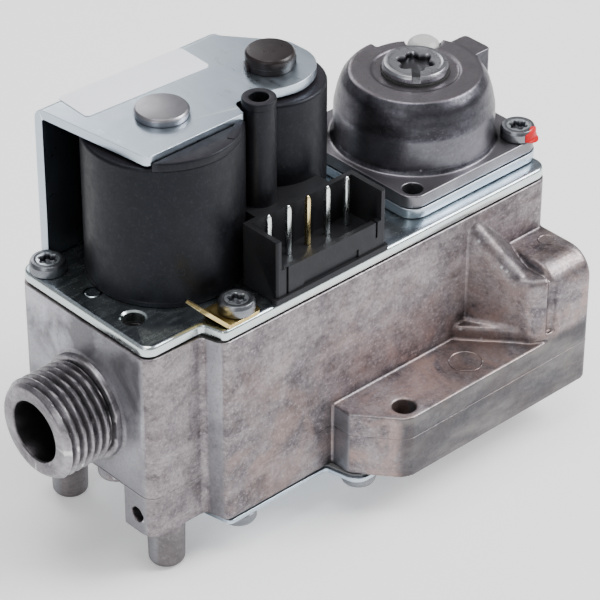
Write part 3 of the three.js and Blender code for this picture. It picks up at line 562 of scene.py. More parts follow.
M_COIL = plastic("coil_moulding", (0.0022, 0.0022, 0.003), (0.0050, 0.0048, 0.0062), rough=(0.34, 0.52), top=(0.012, 0.0105, 0.014), spec=0.26, speck=0.8, tint=(0.80, 0.86, 1.0))
M_SOCKET = plastic("socket_moulding", (0.0022, 0.0022, 0.0026), (0.0045, 0.0045, 0.0055), rough=(0.30, 0.46), grain=1800, spec=0.22, speck=0.5, tint=(0.84, 0.88, 1.0))
M_CAP = plastic("cap_moulding", (0.009, 0.0055, 0.006), (0.016, 0.010, 0.011), rough=(0.26, 0.40), spec=0.35)
M_RUBBER = plastic("rubber", (0.012, 0.012, 0.012), (0.02, 0.02, 0.02), rough=(0.7, 0.85), spec=0.3)
M_BOBBIN = plastic("bobbin_moulding", (0.03, 0.03, 0.03), (0.05, 0.05, 0.05))
M_VENT = plastic("pale_vent", (0.50, 0.52, 0.50), (0.62, 0.64, 0.61), rough=(0.3, 0.45), depth=0.00001)
M_VENT.node_tree.nodes["Principled BSDF"].inputs["Transmission Weight"].default_value = 0.25
M_FIBRE = plastic("grey_fibre", (0.10, 0.10, 0.105), (0.17, 0.17, 0.175), rough=(0.6, 0.8), spec=0.3)
M_LABEL = plastic("label_paper", (0.86, 0.87, 0.93), (0.90, 0.91, 0.96), rough=(0.36, 0.5), grain=1500, depth=0.00001)
M_RED = plastic("red_paint", (0.50, 0.002, 0.006), (0.62, 0.003, 0.010), rough=(0.35, 0.5), depth=0.00003, spec=0.18)


def copper():
    k = Nodes("enamelled_wire")
    w = k.new("ShaderNodeTexWave", wave_type="BANDS", bands_direction="Z")
    w.inputs["Scale"].default_value = 900
    w.inputs["Distortion"].default_value = 0.6
    k.link(k.co, w.inputs["Vector"])
    k.link(k.ramp(w.outputs["Fac"], (0.1, (0.20, 0.06, 0.02)), (0.8, (0.62, 0.24, 0.09))), k.bsdf.inputs["Base Color"])
    k.set(Metallic=0.9, Roughness=0.3)
    k.bump((w.outputs["Fac"], 0.0001, 0.7))
    return k.mat


M_COPPER = copper()

# every CAD node that stays gets the full material of its slot
SLOT_MATERIAL = {
    "casting": M_CAST, "zinc_steel": M_PLATE, "screw_steel": M_SCREW, "core_steel": M_POLE, "spring_steel": M_WIRE,
    "coil_plastic": M_COIL, "bobbin_plastic": M_BOBBIN, "cap_plastic": M_CAP, "copper": M_COPPER, "rubber": M_RUBBER,
    "brass": M_BRASS, "pin_metal": M_PIN, "cover_metal": M_COVER, "vent_plastic": M_VENT, "label": M_LABEL,
}
for sp in frame["record"]["subparts"]:
    ob = frame["nodes"].get(sp["node"])
    if ob is not None:
        for s in ob.material_slots:
            s.link = "OBJECT"
            s.material = M_FIBRE if sp["node"] == "bottom_gasket" else SLOT_MATERIAL[sp["material_slot"]]

# ------------------------------------------------------------------ camera, light, floor
az, el, roll = math.radians(-42.84), math.radians(34.36), math.radians(0.21)
back = Vector((math.sin(az) * math.cos(el), -math.cos(az) * math.cos(el), math.sin(el)))
right = Vector((0, 0, 1)).cross(back).normalized()
up = back.cross(right)
right, up = right * math.cos(roll) + up * math.sin(roll), up * math.cos(roll) - right * math.sin(roll)
cam_data = bpy.data.cameras.new("camera")
cam_data.lens = 181.35
cam_data.sensor_width = 36
cam_data.clip_start = 0.01
cam = bpy.data.objects.new("camera", cam_data)
rot = Matrix((right, up, back)).transposed().to_4x4()
cam.matrix_world = Matrix.Translation(m3(-290.26, -354.86, 324.68)) @ rot
SCENE.collection.objects.link(cam)
SCENE.camera = cam


def lamp(name, at, size, energy, target=(0, 0, 0.045), colour=(1, 1, 1)):
    d = bpy.data.lights.new(name, "AREA")
    d.shape = "RECTANGLE"
    d.size, d.size_y = size
    d.energy = energy
    d.color = colour
    o = bpy.data.objects.new(name, d)
    o.location = at
    o.rotation_euler = (Vector(target) - Vector(at)).to_track_quat("-Z", "Y").to_euler()
    SCENE.collection.objects.link(o)
    return o


lamp("key_softbox", (0.50, -0.34, 0.60), (0.45, 0.4), 9.0)
lamp("top_softbox", (-0.12, 0.02, 0.80), (0.45, 0.35), 3.2)
lamp("left_softbox", (-0.75, -0.28, 0.42), (0.3, 0.45), 1.4)
lamp("back_softbox", (0.25, 0.75, 0.5), (0.5, 0.3), 2.2)
world = bpy.data.worlds.new("studio")
world.use_nodes = True
SCENE.world = world
wt = world.node_tree
bg = wt.nodes["Background"]
wc = wt.nodes.new("ShaderNodeTexCoord")
ws = wt.nodes.new("ShaderNodeSeparateXYZ")
wr = wt.nodes.new("ShaderNodeValToRGB")
wt.links.new(wc.outputs["Generated"], ws.inputs[0])
wt.links.new(ws.outputs[2], wr.inputs["Fac"])
e = wr.color_ramp.elements
e[0].position, e[0].color = 0.0, (0.40, 0.42, 0.46, 1)
e[1].position, e[1].color = 0.75, (1.0, 1.0, 1.0, 1)
wt.links.new(wr.outputs["Color"], bg.inputs["Color"])
bg.inputs["Strength"].default_value = 0.5

bm = bmesh.new()
bmesh.ops.create_grid(bm, x_segments=8, y_segments=8, size=6.0)
fm = bpy.data.meshes.new("floor")
bm.to_mesh(fm)
bm.free()
floor = bpy.data.objects.new("floor", fm)
floor.location.z = -0.0002
SCENE.collection.objects.link(floor)
kf = Nodes("floor_paint")
kf.set(Roughness=0.9, Emission_Strength=0.36)
kf.bsdf.inputs["Emission Color"].default_value = (1, 1, 1, 1)
kf.link(kf.ramp(kf.noise(3, 2), (0.3, (0.90, 0.90, 0.90)), (0.7, (0.93, 0.93, 0.93))), kf.bsdf.inputs["Base Color"])
fm.materials.append(kf.mat)

# ------------------------------------------------------------------ shared shapes
LEN, YS, YB = 103.4, -5.2, 38.7
REG = (85.6, 16.65)
C1, C2, PIL = (22.3, 20.5), (49.7, 20.5), (37.9, 10.6)
SCREWS = {
    "plate_screw_rear_left": (3.9, 33.9, 0.04), "plate_screw_rear_right": (64.0, 34.4, 0.04), "earth_screw": (21.0, -1.6, 0.86),
    "regulator_screw_front_right": (REG[0] + 15, REG[1] - 15, 5.2), "regulator_screw_rear_right": (REG[0] + 15, REG[1] + 15, 5.2),
    "regulator_screw_rear_left": (REG[0] - 15, REG[1] + 15, 5.2),
}
OPEN_HOLE = (REG[0] - 15, REG[1] - 15)
COVER = [(21.0, -1.6), (47.0, -8.6), (96.5, -1.4), (98.6, 34.6), (58.0, 34.9), (19.6, 34.9)]


def plan(d=0.0):
    return [(d, d, 2.7), (13.6 - d, d, 1.3), (15.1 - d, YS + d, 1.3), (LEN - d, YS + d, 3.2), (LEN - d, YB - d, 3.2), (d, YB - d, 3.2)]


# ------------------------------------------------------------------ casting
def make_body():
    b = prism(plan(), -45.0, -2.74)
    b = cut(b, box(-1, 13.7, 8.4, 28.9, -46, -36.0))
    wing = prism([(42.9, -3), (42.9, -10.1, 2), (49.7, -18.3, 1), (51.7, -19.15, 1), (102.65, -19.15, 1.5), (102.65, -3)], -45.0, -30.5)
    horn = prism([(-3, -45.0), (-3, -14.2), (-19.1, -14.2, 6), (-19.1, -45.0)], 91.2, 102.6, 1.2, 1.2, axis="x", step=8)
    foot = prism([(76.6, -1), (76.6, -5.6), (82.9, -12.4, 2), (86.6, -16.6, 2), (90.6, -17.4, 1), (91.6, -18.6, 1), (97, -18.8), (97, -1)], -34, -27.4)
    side = [(80.0, -1), (80.0, -5.4), (83.4, -11.4, 6), (86.4, -16.9, 2.2), (90.2, -19.0, 0.8), (97, -19.0), (97, -1)]
    web = prism(side, -34, -3.4, step=8)
    nose = prism(side[:-2] + [(91.0, -19.0), (91.0, -1)], -34, -15.6, 1.7, step=8)
    n = Vector((0.663, -0.387, 0.641)).normalized()

    def half_space(normal, at):
        o = box(-60, 60, -60, 60, 0, 60)
        q = Vector((0, 0, 1)).rotation_difference(normal).to_matrix().to_4x4()
        o.data.transform(Matrix.Translation(at) @ q)
        return o

    n1 = Vector((-0.874, -0.486, 0)).normalized()
    top_at = Vector((82.4, -5.2, -4.0))
    web = cut(web, half_space(n, top_at))
    # the ridge is a round of radius rr between the side face and the slope
    rr = 2.8
    e = Vector((83.4, -11.4, 0))
    e.z = top_at.z - (n.x * (e.x - top_at.x) + n.y * (e.y - top_at.y)) / n.z
    bis = (n1 + n).normalized()
    ax = e - bis * (rr / ((n1 + n).length / 2))
    for t in (0.12, 0.3, 0.5, 0.7, 0.88):
        mdir = (n1 * (1 - t) + n * t).normalized()
        web = cut(web, half_space(mdir, ax + mdir * rr))
    web = cast(join(web, nose, foot), 0.45, 8)
    web = cut(web, box(60, 110, -30, 0, -50, -31.2))
    groove = rod((91.05, -19.15), -28.9, -8, 1.35, seg=48)
    taps = [
        lathe([(0, -44), (3.85, -44), (3.65, -54.85, 1.3), (0, -54.85)], (6.5, y), seg=48) for y in (33.65, 3.55)
    ]
    stub = lathe([(0, -34), (3.65, -34), (3.65, -42.2, 1.0), (0, -42.2)], (6.5, INL[0]), seg=48)
    pad = rod(INL, -0.25, 3, 11.3, "x")
    b = join(b, wing, horn, web, stub, pad, *taps)
    cuts = [
        rod(INL, -2, 12, 6.3, "x"),
        rod(C1, -28.6, -5, 13), rod(C1, -6, 0, 7.2), rod(C2, -28.6, -5, 9.5), rod(C2, -6, 0, 6.6),
        box(17, 60, 7.2, 31.5, -46, -31), rod((C2[1], -24.5), 57, 68, 3.4, "x"), box(66, 72.4, 16, 25, -32, -20.5),
        box(66, 99, 5, 30, -46, -31), rod(REG, -32, -27, 4.6), rod(REG, -28.6, 0, 11), rod((REG[1], -17.5), 88, LEN + 1, 7.0, "x"),
        rod((4.4, -40.9), -1, 60, 1.6, "x", 32), groove,
        rod((53.0, -15.1), -46, -28, 2.43, seg=48), rod((96.6, -12.2), -46, -30, 2.43, seg=48), rod((5.4, 10.2), -9, 0, 2.35, seg=48),
    ]
    for dy in (-10.5, 10.5):
        for dz in (-10.5, 10.5):
            cuts.append(rod((REG[1] + dy, -17.5 + dz), LEN - 7, LEN + 1, 1.65, "x", 32))
    for y in (33.65, 3.55):
        cuts.append(rod((6.5, y), -56, -43.0, 2.15, seg=32))
    for p in list(SCREWS.values()) + [OPEN_HOLE]:
        cuts.append(rod(p[:2], -12, 0, 2.1, seg=32))
    for p in COVER:
        cuts.append(rod(p, -46, -36.5, 2.1, seg=32))
    b = cut(b, *cuts)
    return cast(b, 0.29, 1)


piece(make_body(), "body_casting", M_CAST, stands_for="valve_body", angle=0)


# inlet: helical thread, chamfered end, bore and collar in one skin
def make_thread():
    seg = 144
    p, crest, root = 1.814, 10.4775, 9.32
    rows = [(0.6, 6.32, 0), (-6, 6.32, 0), (-12.75, 6.32, 0), (-13.05, 6.5, 0), (-13.19, 6.75, 0), (-13.2, 8.95, 0), (-13.1, 9.25, 0), (-12.9, 9.45, 0)]
    x = -12.8
    while x < -1.75:
        rows.append((x, None, 0))
        x += 0.1
    rows += [(-1.62, 9.6, 0), (-1.42, 10.7, 1), (-1.25, 11.0, 1), (-1.0, 11.1, 1), (-0.2, 11.12, 1), (0.3, 11.3, 1), (0.6, 11.3, 0)]
    verts = []
    for x, r, flag in rows:
        for k in range(seg):
            a = 2 * math.pi * k / seg
            rr = r
            if rr is None:
                t = ((x + 13.2) / p - a / (2 * math.pi)) % 1.0
                h = abs(t - 0.5) * 2  # 1 at the crest
                h = min(1.0, max(0.0, (h - 0.10) / 0.76))
                h = h * h * (3 - 2 * h) * 0.35 + h * 0.65
                rr = root + (crest - root) * h
                start = (x + 12.9) / 1.1
                rr = min(rr, 9.45 + max(0, start) * 1.1)
                end = (-1.75 - x) / 0.9
                rr = min(rr, root + 0.35 + max(0.0, end) * 1.2)
                # the casting's joint face flattens the crests on the underside
                for a0, d in ((math.radians(-112), 9.9),):
                    c = math.cos(a - a0)
                    if c > 0.9:
                        rr = min(rr, d / c)
            if flag:
                c = math.cos(a - math.radians(180))
                if c > 0.7:
                    rr = min(rr, 10.55 / c)
            verts.append((x, INL[0] + rr * math.cos(a), INL[1] + rr * math.sin(a)))
    n = len(rows)
    faces = [
        ((i % n) * seg + k, (i % n) * seg + (k + 1) % seg, ((i + 1) % n) * seg + (k + 1) % seg, ((i + 1) % n) * seg + k)
        for i in range(n) for k in range(seg)
    ]
    return raw(verts, faces)


piece(make_thread(), "inlet_thread", M_THREAD, angle=40)

# joint line of the casting and its ejector marks
piece(prism([(x, y, r) for x, y, r in plan(-0.07)], -35.82, -35.58, 0.06, 0.06), "parting_ridge", M_CAST, angle=0)
piece(prism([(42.83, -4), (42.83, -10.13, 2), (49.67, -18.36, 1), (51.68, -19.22, 1), (102.7, -19.22, 1.5), (102.7, -4)], -35.82, -35.58, 0.06, 0.06), "parting_ridge_wing", M_CAST, angle=0)
for i, (x, y, z, r) in enumerate([(72.8, -12.7, -30.5, 3.6), (98.9, -9.4, -14.2, 1.9)]):
    piece(lathe([(0, z - 0.3), (r, z - 0.3), (r, z + 0.15, 0.08), (r - 0.3, z + 0.15, 0.08), (r - 0.42, z + 0.03, 0.08), (0, z + 0.04)], (x, y), seg=96), "ejector_mark_%d" % (i + 1), M_CAST, angle=0)

# ------------------------------------------------------------------ base plate and bottom cover
poly = rounded(plan(0.12), True, 8)
lay = [(-2.30, inset(poly, 0.25)), (-2.2, inset(poly, 0.1)), (-2.0, poly), (-0.75, poly), (-0.5, inset(poly, 0.05)), (-0.28, inset(poly, 0.16)), (-0.12, inset(poly, 0.34)), (-0.03, inset(poly, 0.56)), (0.0, inset(poly, 0.8))]
pl = stack(lay)
holes = [rod(C1, -4, 1, 5.9), rod(C2, -4, 1, 4.9), rod(REG, -4, 1, 10.6), rod((5.2, 22.0), -4, 1, 1.9, seg=48), rod(PIL, -4, 1, 1.3, seg=24)]
holes += [lathe([(0, -4), (2.35, -4), (2.35, -0.35), (2.7, 0.02), (2.7, 1), (0, 1)], (5.4, 10.2), seg=64)]
holes += [rod(p[:2], -4, 1, 2.1, seg=32) for p in list(SCREWS.values()) + [OPEN_HOLE]]
piece(cut(pl, *holes), "base_plate_sheet", M_PLATE, stands_for="base_plate", angle=28)
piece(lathe([(0, -2.2), (1.62, -2.2), (1.62, -0.16, 0.1), (1.4, -0.03, 0.1), (0.5, -0.04), (0, -0.06)], (5.2, 22.0), seg=64), "plate_plug", M_PLATE, stands_for="plate_rivet")


def cover_plan(d):
    return [(14.4 + d, 0.8 + d, 1.2), (15.6 + d, YS + d, 1.2), (41.2 + d, YS + d, 1.0), (42.9 + d, -12.9 + d, 3.2), (51.2 - d, -12.9 + d, 3.2), (52.6 - d, YS + d, 1.0),
            (LEN - 0.6 - d, YS + d, 3), (LEN - 0.6 - d, YB - 0.6 - d, 3), (14.4 + d, YB - 0.6 - d, 1.2)]


bc = prism(cover_plan(0), -46.58, -45.48, 0.15, 0.35, step=8)
piece(cut(bc, *[rod(p, -50, -40, 2.1, seg=32) for p in COVER]), "bottom_cover_sheet", M_YOKE, stands_for="bottom_cover", angle=28)


# ------------------------------------------------------------------ screws
def lobed(c, r0, r1, n=6, k=72):
    """Outline of a recess with n round lobes."""
    out = []
    for i in range(k):
        a = 2 * math.pi * i / k
        t = 0.5 + 0.5 * math.cos(n * a)
        t = t ** 0.75
        r = r1 + (r0 - r1) * t
        out.append((c[0] + r * math.cos(a), c[1] + r * math.sin(a)))
    return out


def make_screw(x, y, z, d=1, length=6.0):
    pr = [(0, -length), (1.85, -length), (1.85, -0.05), (3.45, -0.05, 0.05), (3.62, 0.12, 0.12), (3.62, 1.72, 0.15), (3.28, 2.42, 0.12), (2.75, 2.5, 0.15), (2.35, 2.40, 0.1), (0, 2.38)]
    s = lathe([(r, z + d * h, *rest) for r, h, *rest in pr], (x, y), seg=72, step=20)
    rec = stack([(z + d * 0.95, lobed((x, y), 1.45, 1.0)), (z + d * 1.1, lobed((x, y), 1.92, 1.42)), (z + d * 2.2, lobed((x, y), 1.95, 1.45)), (z + d * 2.7, lobed((x, y), 2.2, 1.75))])
    return cut(s, rec)


for name, (x, y, z) in SCREWS.items():
    piece(make_screw(x, y, z), name + "_head", M_SCREW, stands_for=name, angle=30)
for i, (x, y) in enumerate(COVER):
    piece(make_screw(x, y, -46.66, -1), "bottom_screw_%d" % (i + 1), M_SCREW, stands_for="cover_screw_%d" % (i + 1), angle=30)


# red seal paint on one regulator screw
def make_paint():
    cx, cy, z = REG[0] + 15, REG[1] - 15, 5.15
    prof = [(4.6, 0.02), (4.35, 0.10), (4.0, 0.16), (3.74, 0.35), (3.72, 1.0), (3.72, 1.75), (3.5, 2.3), (3.1, 2.56), (2.7, 2.6)]
    verts, faces = [], []
    a0, a1, n = math.radians(-112), math.radians(-34), 22
    for i in range(n + 1):
        t = i / n
        a = a0 + (a1 - a0) * t
        trim = 0.5 - 0.5 * math.cos(2 * math.pi * t)
        wob = 0.12 * math.sin(9 * t + 1) + 0.08 * math.sin(23 * t)
        m = len(prof)
        for j, (r, h) in enumerate(prof):
            s = j / (m - 1)
            lo, hi = 0.30 - 0.30 * trim, 0.62 + 0.38 * trim
            s2 = min(max(s, lo + wob * 0.4), hi + wob * 0.3)
            f = s2 * (m - 1)
            q = min(m - 2, max(0, int(f)))
            u = min(1.0, max(0.0, f - q))
            rr = prof[q][0] * (1 - u) + prof[q + 1][0] * u
            hh = prof[q][1] * (1 - u) + prof[q + 1][1] * u
            verts.append((cx + rr * math.cos(a), cy + rr * math.sin(a), z + hh))
        # inner skin
        for j, (r, h) in enumerate(prof):
            v = verts[len(verts) - m - j + j]
            verts.append((cx + (v[0] - cx) * 0.965, cy + (v[1] - cy) * 0.965, v[2] - 0.12))
    w = 2 * len(prof)
    m = len(prof)
    for i in range(n):
        for j in range(m - 1):
            a, b = i * w + j, (i + 1) * w + j
            faces.append((a, a + 1, b + 1, b))
            faces.append((a + m, b + m, b + m + 1, a + m + 1))
        a, b = i * w, (i + 1) * w
        faces.append((a, b, b + m, a + m))
        faces.append((a + m - 1, a + w - 1, b + w - 1, b + m - 1))
    faces.append(tuple(range(m)) + tuple(range(2 * m - 1, m - 1, -1)))
    faces.append(tuple(n * w + k for k in list(range(m - 1, -1, -1)) + list(range(m, 2 * m))))
    return raw(verts, faces)


piece(make_paint(), "paint_mark", M_RED, angle=0)


# ------------------------------------------------------------------ earth tab
def make_tab():
    base = prism([(16.2, -5.0, 0.3), (24.6, -5.0, 1.5), (24.6, 2.6, 2.5), (16.2, 2.6, 0.3)], 0.04, 0.79, 0.1, 0.1)
    # strip: path in x, z with half width along it
    path = [(18.0, 0.415, 3.15), (16.9, 0.415, 3.15)]
    R = 1.3
    cx, cz = 16.9, 0.415 + R
    for k in range(1, 7):
        a = math.radians(45) * k / 6
        path.append((cx - R * math.sin(a), cz - R * math.cos(a), 3.15))
    x, z, _ = path[-1]
    s = math.sqrt(0.5)
    for l, w in ((2.0, 3.15), (4.6, 3.15), (6.4, 3.1), (7.4, 2.6), (7.9, 2.1), (8.15, 1.9)):
        path.append((x - l * s, z + l * s, w))
    verts = []
    n = len(path)
    for i, (px, pz, w) in enumerate(path):
        q, r = path[max(0, i - 1)], path[min(n - 1, i + 1)]
        t = Vector((r[0] - q[0], r[1] - q[1])).normalized()
        nn = Vector((-t.y, t.x)) * (0.375 if i < n - 1 else 0.2)
        cy = -1.6
        for sx, sw in ((1, -1), (1, 1), (-1, 1), (-1, -1)):
            verts.append((px + nn.x * sx, cy + sw * w, pz + nn.y * sx))
    faces = [(0, 1, 2, 3), tuple(4 * (n - 1) + k for k in (3, 2, 1, 0))]
    for i in range(n - 1):
        for k in range(4):
            faces.append((4 * i + k, 4 * i + (k + 1) % 4, 4 * (i + 1) + (k + 1) % 4, 4 * (i + 1) + k))
    strip = raw(verts, faces)
    tab = join(base, strip)
    tab = cut(tab, rod((21.0, -1.6), -1, 3, 2.1, seg=48))
    return tab


piece(soften(make_tab(), 0.1, 2, 40), "earth_tab_strip", M_BRASS, stands_for="earth_tab", angle=40)


# ------------------------------------------------------------------ coils
def coil_shell(c, r, inner, pocket):
    pr = [(inner, 30.7, 0.3), (r, 30.7, 0.75), (r, 1.1, 0.1), (r + 0.12, 0.9, 0.1), (r + 0.12, 0.08, 0.1), (pocket, 0.08), (pocket, 28.2), (inner, 28.2)]
    return lathe(pr, c, seg=144, closed=True)


piece(coil_shell(C1, 15.7, 6.4, 14.0), "coil_shell_1", M_COIL, stands_for="coil_block", angle=40)
piece(coil_shell(C2, 11.1, 5.2, 9.6), "coil_shell_2", M_COIL, angle=40)
br = prism([(34.0, 14.2), (45.0, 14.2), (43.5, 20.5), (45.0, 26.8), (34.0, 26.8), (37.2, 20.5)], 0.1, 30.3, 0.4)
br = cut(br, rod(C1, -1, 31, 14.9), rod(C2, -1, 31, 10.4))
piece(br, "coil_bridge", M_COIL, angle=30)
fin = prism([(35.6, 10.6), (40.2, 10.6), (40.2, 16.0, 0.4), (35.6, 16.0, 0.4)], 0.1, 30.4, 0.3)
piece(fin, "pillar_fin", M_COIL, angle=30)
piece(lathe([(1.9, 35.3, 0.25), (3.4, 35.3, 0.3), (3.4, 33.9, 0.1), (3.3, 33.7, 0.1), (3.42, 0.1), (1.3, 0.1), (1.3, 1.6), (1.9, 1.6)], PIL, seg=72, closed=True), "coil_pillar", M_COIL, angle=40)
sc = lathe([(0, -2.2), (1.1, -2.2), (1.1, 1.7), (1.72, 1.7), (1.72, 31.6, 0.25), (0, 31.6)], PIL, seg=48)
sc = cut(sc, box(PIL[0] - 2, PIL[0] + 2, PIL[1] - 0.3, PIL[1] + 0.3, 30.7, 32))
piece(sc, "pillar_screw", M_SCREW, stands_for="coil_fixing_screw", angle=30)
# raised segment on the first coil's top, flush with the yoke's front edge
seg = cut(lathe([(0, 30.3), (15.62, 30.3), (15.62, 32.0, 0.35), (0, 32.0)], C1, seg=144), box(0, 60, 9.95, 40, 29, 35))
piece(soften(seg, 0.12, 2, 40), "coil_top_segment", M_COIL, angle=30)
# small blank moulded pad on it
pad = prism([(-3.4, -0.8, 0.3), (3.4, -0.8, 0.3), (3.4, 0.8, 0.3), (-3.4, 0.8, 0.3)], 31.9, 32.16, 0.08)
pad.data.transform(Matrix.Translation((30.2, 8.55, 0)) @ Matrix.Rotation(math.radians(33), 4, "Z"))
piece(pad, "coil_pad", M_COIL, angle=30)


gm = lathe([(0, -0.3), (0.75, -0.3), (0.75, 0.12, 0.08), (0.5, 0.16, 0.06), (0.35, 0.02), (0, 0.02)], (0, 0), seg=32)
gm.data.transform(Matrix.Translation((22.3 + 15.7 * math.cos(math.radians(240.9)), 20.5 + 15.7 * math.sin(math.radians(240.9)), 7.8)) @ Matrix.Rotation(math.radians(240.9), 4, "Z") @ Matrix.Rotation(math.radians(90), 4, "Y"))
piece(gm, "coil_gate_mark", M_COIL, angle=40)


def make_socket():
    x0, x1, y0, y1, w = 28.2, 56.7, -5.0, 4.7, 1.2
    s = prism([(x0, y0, 0.5), (x1, y0, 0.5), (x1, y1, 0.3), (x0, y1, 0.3)], 0.1, 13.9)
    s = join(s, prism([(33, 4.2), (52, 4.2), (52, 12), (33, 12)], 0.1, 12.5))
    s = cut(
        s,
        box(x0 + w, x1 - w, y0 + w, y1 - w, 5.0, 15),
        box(x0 + w, x1 - w, y0 - 1, y0 + w + 0.5, 7.3, 15),
        box(54.1, 54.6, y0 - 1, y0 + w + 0.2, 3.7, 8),
        box(30.6, 31.2, y0 - 1, y0 + 0.35, -1, 8.5), box(35.2, 49.6, y0 - 1, y0 + 0.3, -1, 3.2),
        rod(C1, -1, 32, 14.0), rod(C2, -1, 32, 9.6),
        *[box(31.6 + 5.08 * i - 0.55, 31.6 + 5.08 * i + 0.55, 1.1 - 0.55, 1.1 + 0.55, 1.5, 6) for i in range(5)],
    )
    # keying ribs on the back wall and foot rail along the front
    for i in range(4):
        xr = 34.14 + 5.08 * i
        s = join(s, box(xr - 0.35, xr + 0.35, y1 - w - 0.55, y1 - w + 0.2, 4.8, 11.6))
    s = join(s, prism([(x0 - 0.5, y0 - 0.45, 0.3), (x1 + 0.5, y0 - 0.45, 0.3), (x1 + 0.5, y0 + 1, 0.3), (x0 - 0.5, y0 + 1, 0.3)], 0.1, 1.3))
    return s


piece(soften(make_socket(), 0.12, 2, 40), "socket_shell", M_SOCKET, angle=30, weighted=True)
for i in range(5):
    x = 31.6 + 5.08 * i
    hx = 0.46 if i == 2 else 0.52
    lay = []
    for h, s in ((1.55, 1), (14.3, 1), (15.0, 0.93), (15.5, 0.78), (15.85, 0.55), (16.0, 0.25)):
        lay.append((h, rounded([(x - hx * s, 1.1 - 0.45 * s, 0.12 * s), (x + hx * s, 1.1 - 0.45 * s, 0.12 * s), (x + hx * s, 1.1 + 0.45 * s, 0.12 * s), (x - hx * s, 1.1 + 0.45 * s, 0.12 * s)], True, 30)))
    piece(stack(lay), "pin_%d" % (i + 1), M_GOLD if i == 2 else M_PIN, stands_for="contact_pin_%d" % (i + 1), angle=50)

# ------------------------------------------------------------------ yoke, label, pole, cap
def make_yoke():
    sec = [(4, 31.4), (36.9, 31.4, 0.6), (36.9, 0.1), (38.93, 0.1), (38.93, 33.4, 2.6), (4, 33.4)]
    y = prism(sec, 3, 62, axis="x", step=7)
    out = [(6.3, 41), (6.3, 38.3), (9.9, 10.25, 1.4), (34.0, 10.25, 0.8), (34.5, 12.7, 0.6), (35.1, 14.2, 1.2), (41.0, 14.2, 1.2), (42.5, 13.4, 0.8), (46.3, 12.1, 2.0), (49.9, 11.3, 8.5), (59.1, 14.6, 8.3), (58.6, 25.2, 4), (50.2, 35.6, 3), (49.6, 38.0), (49.6, 41)]
    y = csg(y, "INTERSECT", [prism(out, -1, 36, step=6)])
    y = cut(y, rod(C1, 30, 35, 4.1, seg=72), rod(C2, 30, 35, 3.2, seg=72), rod(PIL, 30, 35, 3.85, seg=72))
    return y


piece(soften(make_yoke(), 0.35, 4, 40), "yoke_sheet", M_YOKE, stands_for="magnet_yoke", angle=35, weighted=True)
lab = prism([(-14.5, -4.7, 1.0), (15.3, -4.7, 1.2), (15.3, 4.7, 1.2), (-14.5, 4.7, 1.0)], 33.425, 33.56, 0.03)
lab.data.transform(Matrix.Translation((25.7, 33.0, 0)) @ Matrix.Rotation(math.radians(-2.6), 4, "Z"))
piece(lab, "label_sheet", M_LABEL, stands_for="blank_label", angle=40)
piece(lathe([(0, 18), (4.85, 18), (4.85, 31.1), (3.85, 31.3), (3.85, 33.44), (5.25, 33.44, 0.1), (5.3, 34.55, 0.1), (4.95, 35.0, 0.12), (4.75, 35.05), (0, 35.0)], C1, seg=96), "pole_disc", M_POLE, stands_for="fixed_core_1", angle=30)
cp = lathe([(3.05, 33.44), (4.7, 33.44, 0.1), (4.75, 34.6, 0.1), (4.95, 34.8, 0.1), (4.95, 36.2, 0.3), (4.5, 36.75, 0.3), (0, 36.8), (0, 35.8), (3.05, 35.8)], C2, seg=96)
clips = []
for a in (-20, 160):
    c = box(4.35, 5.15, -0.9, 0.9, 33.45, 34.9)
    c.data.transform(Matrix.Translation((C2[0], C2[1], 0)) @ Matrix.Rotation(math.radians(a), 4, "Z"))
    clips.append(c)
cp = join(cp, *clips)
piece(soften(cp, 0.12, 2, 40), "cap_shell", M_CAP, stands_for="retaining_cap", angle=30)


# ------------------------------------------------------------------ regulator
def make_regulator():
    x, y = REG
    f = 18.3
    fl = prism([(x - f, y - f, 3.4), (x + f, y - f, 3.4), (x + f, y + f, 3.4), (x - f, y + f, 3.4)], 2.42, 5.1, step=8)
    dome = lathe([(0, 3), (16.95, 3), (16.95, 5.3, 0.3), (16.5, 6.0, 0.5), (16.45, 12.5, 6), (15.85, 15.5, 5), (15.0, 18.3, 4), (13.45, 20.2, 0.9), (9.2, 20.15), (8.8, 19.75, 0.3), (0, 19.75)], REG, seg=160)
    b1 = prism([(x + 6, y - 3.9, 0.5), (x + 17.8, y - 3.9, 0.9), (x + 17.8, y + 3.4, 0.9), (x + 6, y + 3.4, 0.5)], 4, 19.9)
    b2 = prism([(x + 6, y - 3.9, 0.5), (x + 18.3, y - 3.9, 0.9), (x + 18.3, y + 3.4, 0.9), (x + 6, y + 3.4, 0.5)], 4, 11.0)
    h = join(fl, dome, b1, b2)
    vp = (x + 9.5, y + 7.2)
    sector = [(x + r * math.cos(math.radians(a)), y + r * math.sin(math.radians(a))) for r, a in [(11.7, t) for t in range(27, 88, 6)] + [(21, 87), (21, 57), (21, 27)]]
    cuts = [
        rod(REG, -1, 7.0, 13.4), rod(REG, -1, 9.5, 6.4), rod(REG, 0, 25, 5.5),
        rod(vp, 8, 25, 3.9), prism(sector, 12, 25),
    ]
    for p in list(SCREWS.values())[3:] + [OPEN_HOLE]:
        cuts.append(rod(p[:2], -1, 12, 2.1, seg=48))
    for p in list(SCREWS.values())[3:]:
        cuts.append(rod(p[:2], 5.1, 30, 4.1, seg=64))
    h = cut(h, *cuts)
    return cast(h, 0.22, 5)


piece(make_regulator(), "regulator_casting", M_DOME, stands_for="regulator_housing", angle=0)
# sheet plate under the flange
def make_reg_plate():
    x, y = REG
    g = 18.6
    p = prism([(x - g, y - g, 3.9), (x + g, y - g, 3.9), (x + g, y + g, 3.9), (x - g, y + g, 3.9)], 0.06, 2.24, 0.12, 0.3, step=8)
    return cut(p, rod(REG, -1, 0.9, 15.3), rod(REG, -1, 7.0, 13.4), *[rod(q[:2], -1, 12, 2.1, seg=48) for q in list(SCREWS.values())[3:] + [OPEN_HOLE]])


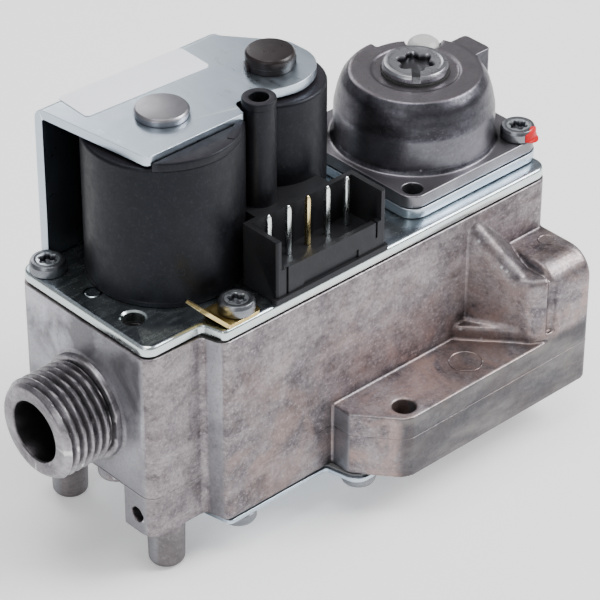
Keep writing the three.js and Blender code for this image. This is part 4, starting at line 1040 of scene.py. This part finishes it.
piece(make_reg_plate(), "regulator_base_sheet", M_YOKE, stands_for="regulator_base_plate", angle=30)
f1 = 17.7
piece(cut(prism([(REG[0] - f1, REG[1] - f1, 3.2), (REG[0] + f1, REG[1] - f1, 3.2), (REG[0] + f1, REG[1] + f1, 3.2), (REG[0] - f1, REG[1] + f1, 3.2)], 2.2, 2.5), rod(REG, 0, 4, 14.5), *[rod(q[:2], -1, 12, 2.1, seg=48) for q in list(SCREWS.values())[3:] + [OPEN_HOLE]]), "diaphragm_rim", M_RUBBER, angle=30)
piece(lathe([(0, 8.1), (3.4, 8.1), (3.4, 18.9, 0.2), (3.15, 19.6, 0.5), (2.2, 20.4, 0.9), (0, 20.55)], (REG[0] + 9.5, REG[1] + 7.2), seg=64), "vent_cap", M_VENT, stands_for="vent_plug", angle=35)


def make_cover():
    x, y = REG
    pr = [(0, 15.5), (5.25, 15.5), (5.25, 20.32), (6.75, 20.32, 0.1), (6.75, 21.35, 0.15), (6.35, 21.95, 0.2), (5.6, 22.05, 0.15), (5.2, 21.9, 0.1), (0, 21.86)]
    c = lathe(pr, REG, seg=128)
    slot = box(-0.9, 0.9, -8, 0, 20.6, 24)
    slot.data.transform(Matrix.Translation((x, y, 0)) @ Matrix.Rotation(math.radians(-43), 4, "Z"))
    rec = stack([(20.45, lobed(REG, 3.1, 2.2, 6)), (20.6, lobed(REG, 3.8, 2.8, 6)), (21.6, lobed(REG, 3.9, 2.9, 6)), (22.4, lobed(REG, 4.5, 3.5, 6))])
    c = cut(c, slot, rec)
    return c


piece(soften(make_cover(), 0.1, 2, 40), "cover_screw_head", M_COVER, body="cover_cap", stands_for="regulator_cover_screw", angle=30)

# tap screws
for y, n in ((33.65, "rear"), (3.55, "front")):
    t = lathe([(0, -43.6), (0.8, -44.2), (1.98, -45.4), (1.98, -52.6, 0.2), (0, -52.6)], (6.5, y), seg=40)
    t = cut(t, box(3.5, 9.5, y - 0.35, y + 0.35, -54, -51.6))
    piece(t, "tap_%s_screw" % n, M_BRASS, body=n + "_tap_screw", stands_for="tap_screw_" + n, angle=30)

for m in [m for m in bpy.data.meshes if m.users == 0]:
    bpy.data.meshes.remove(m)
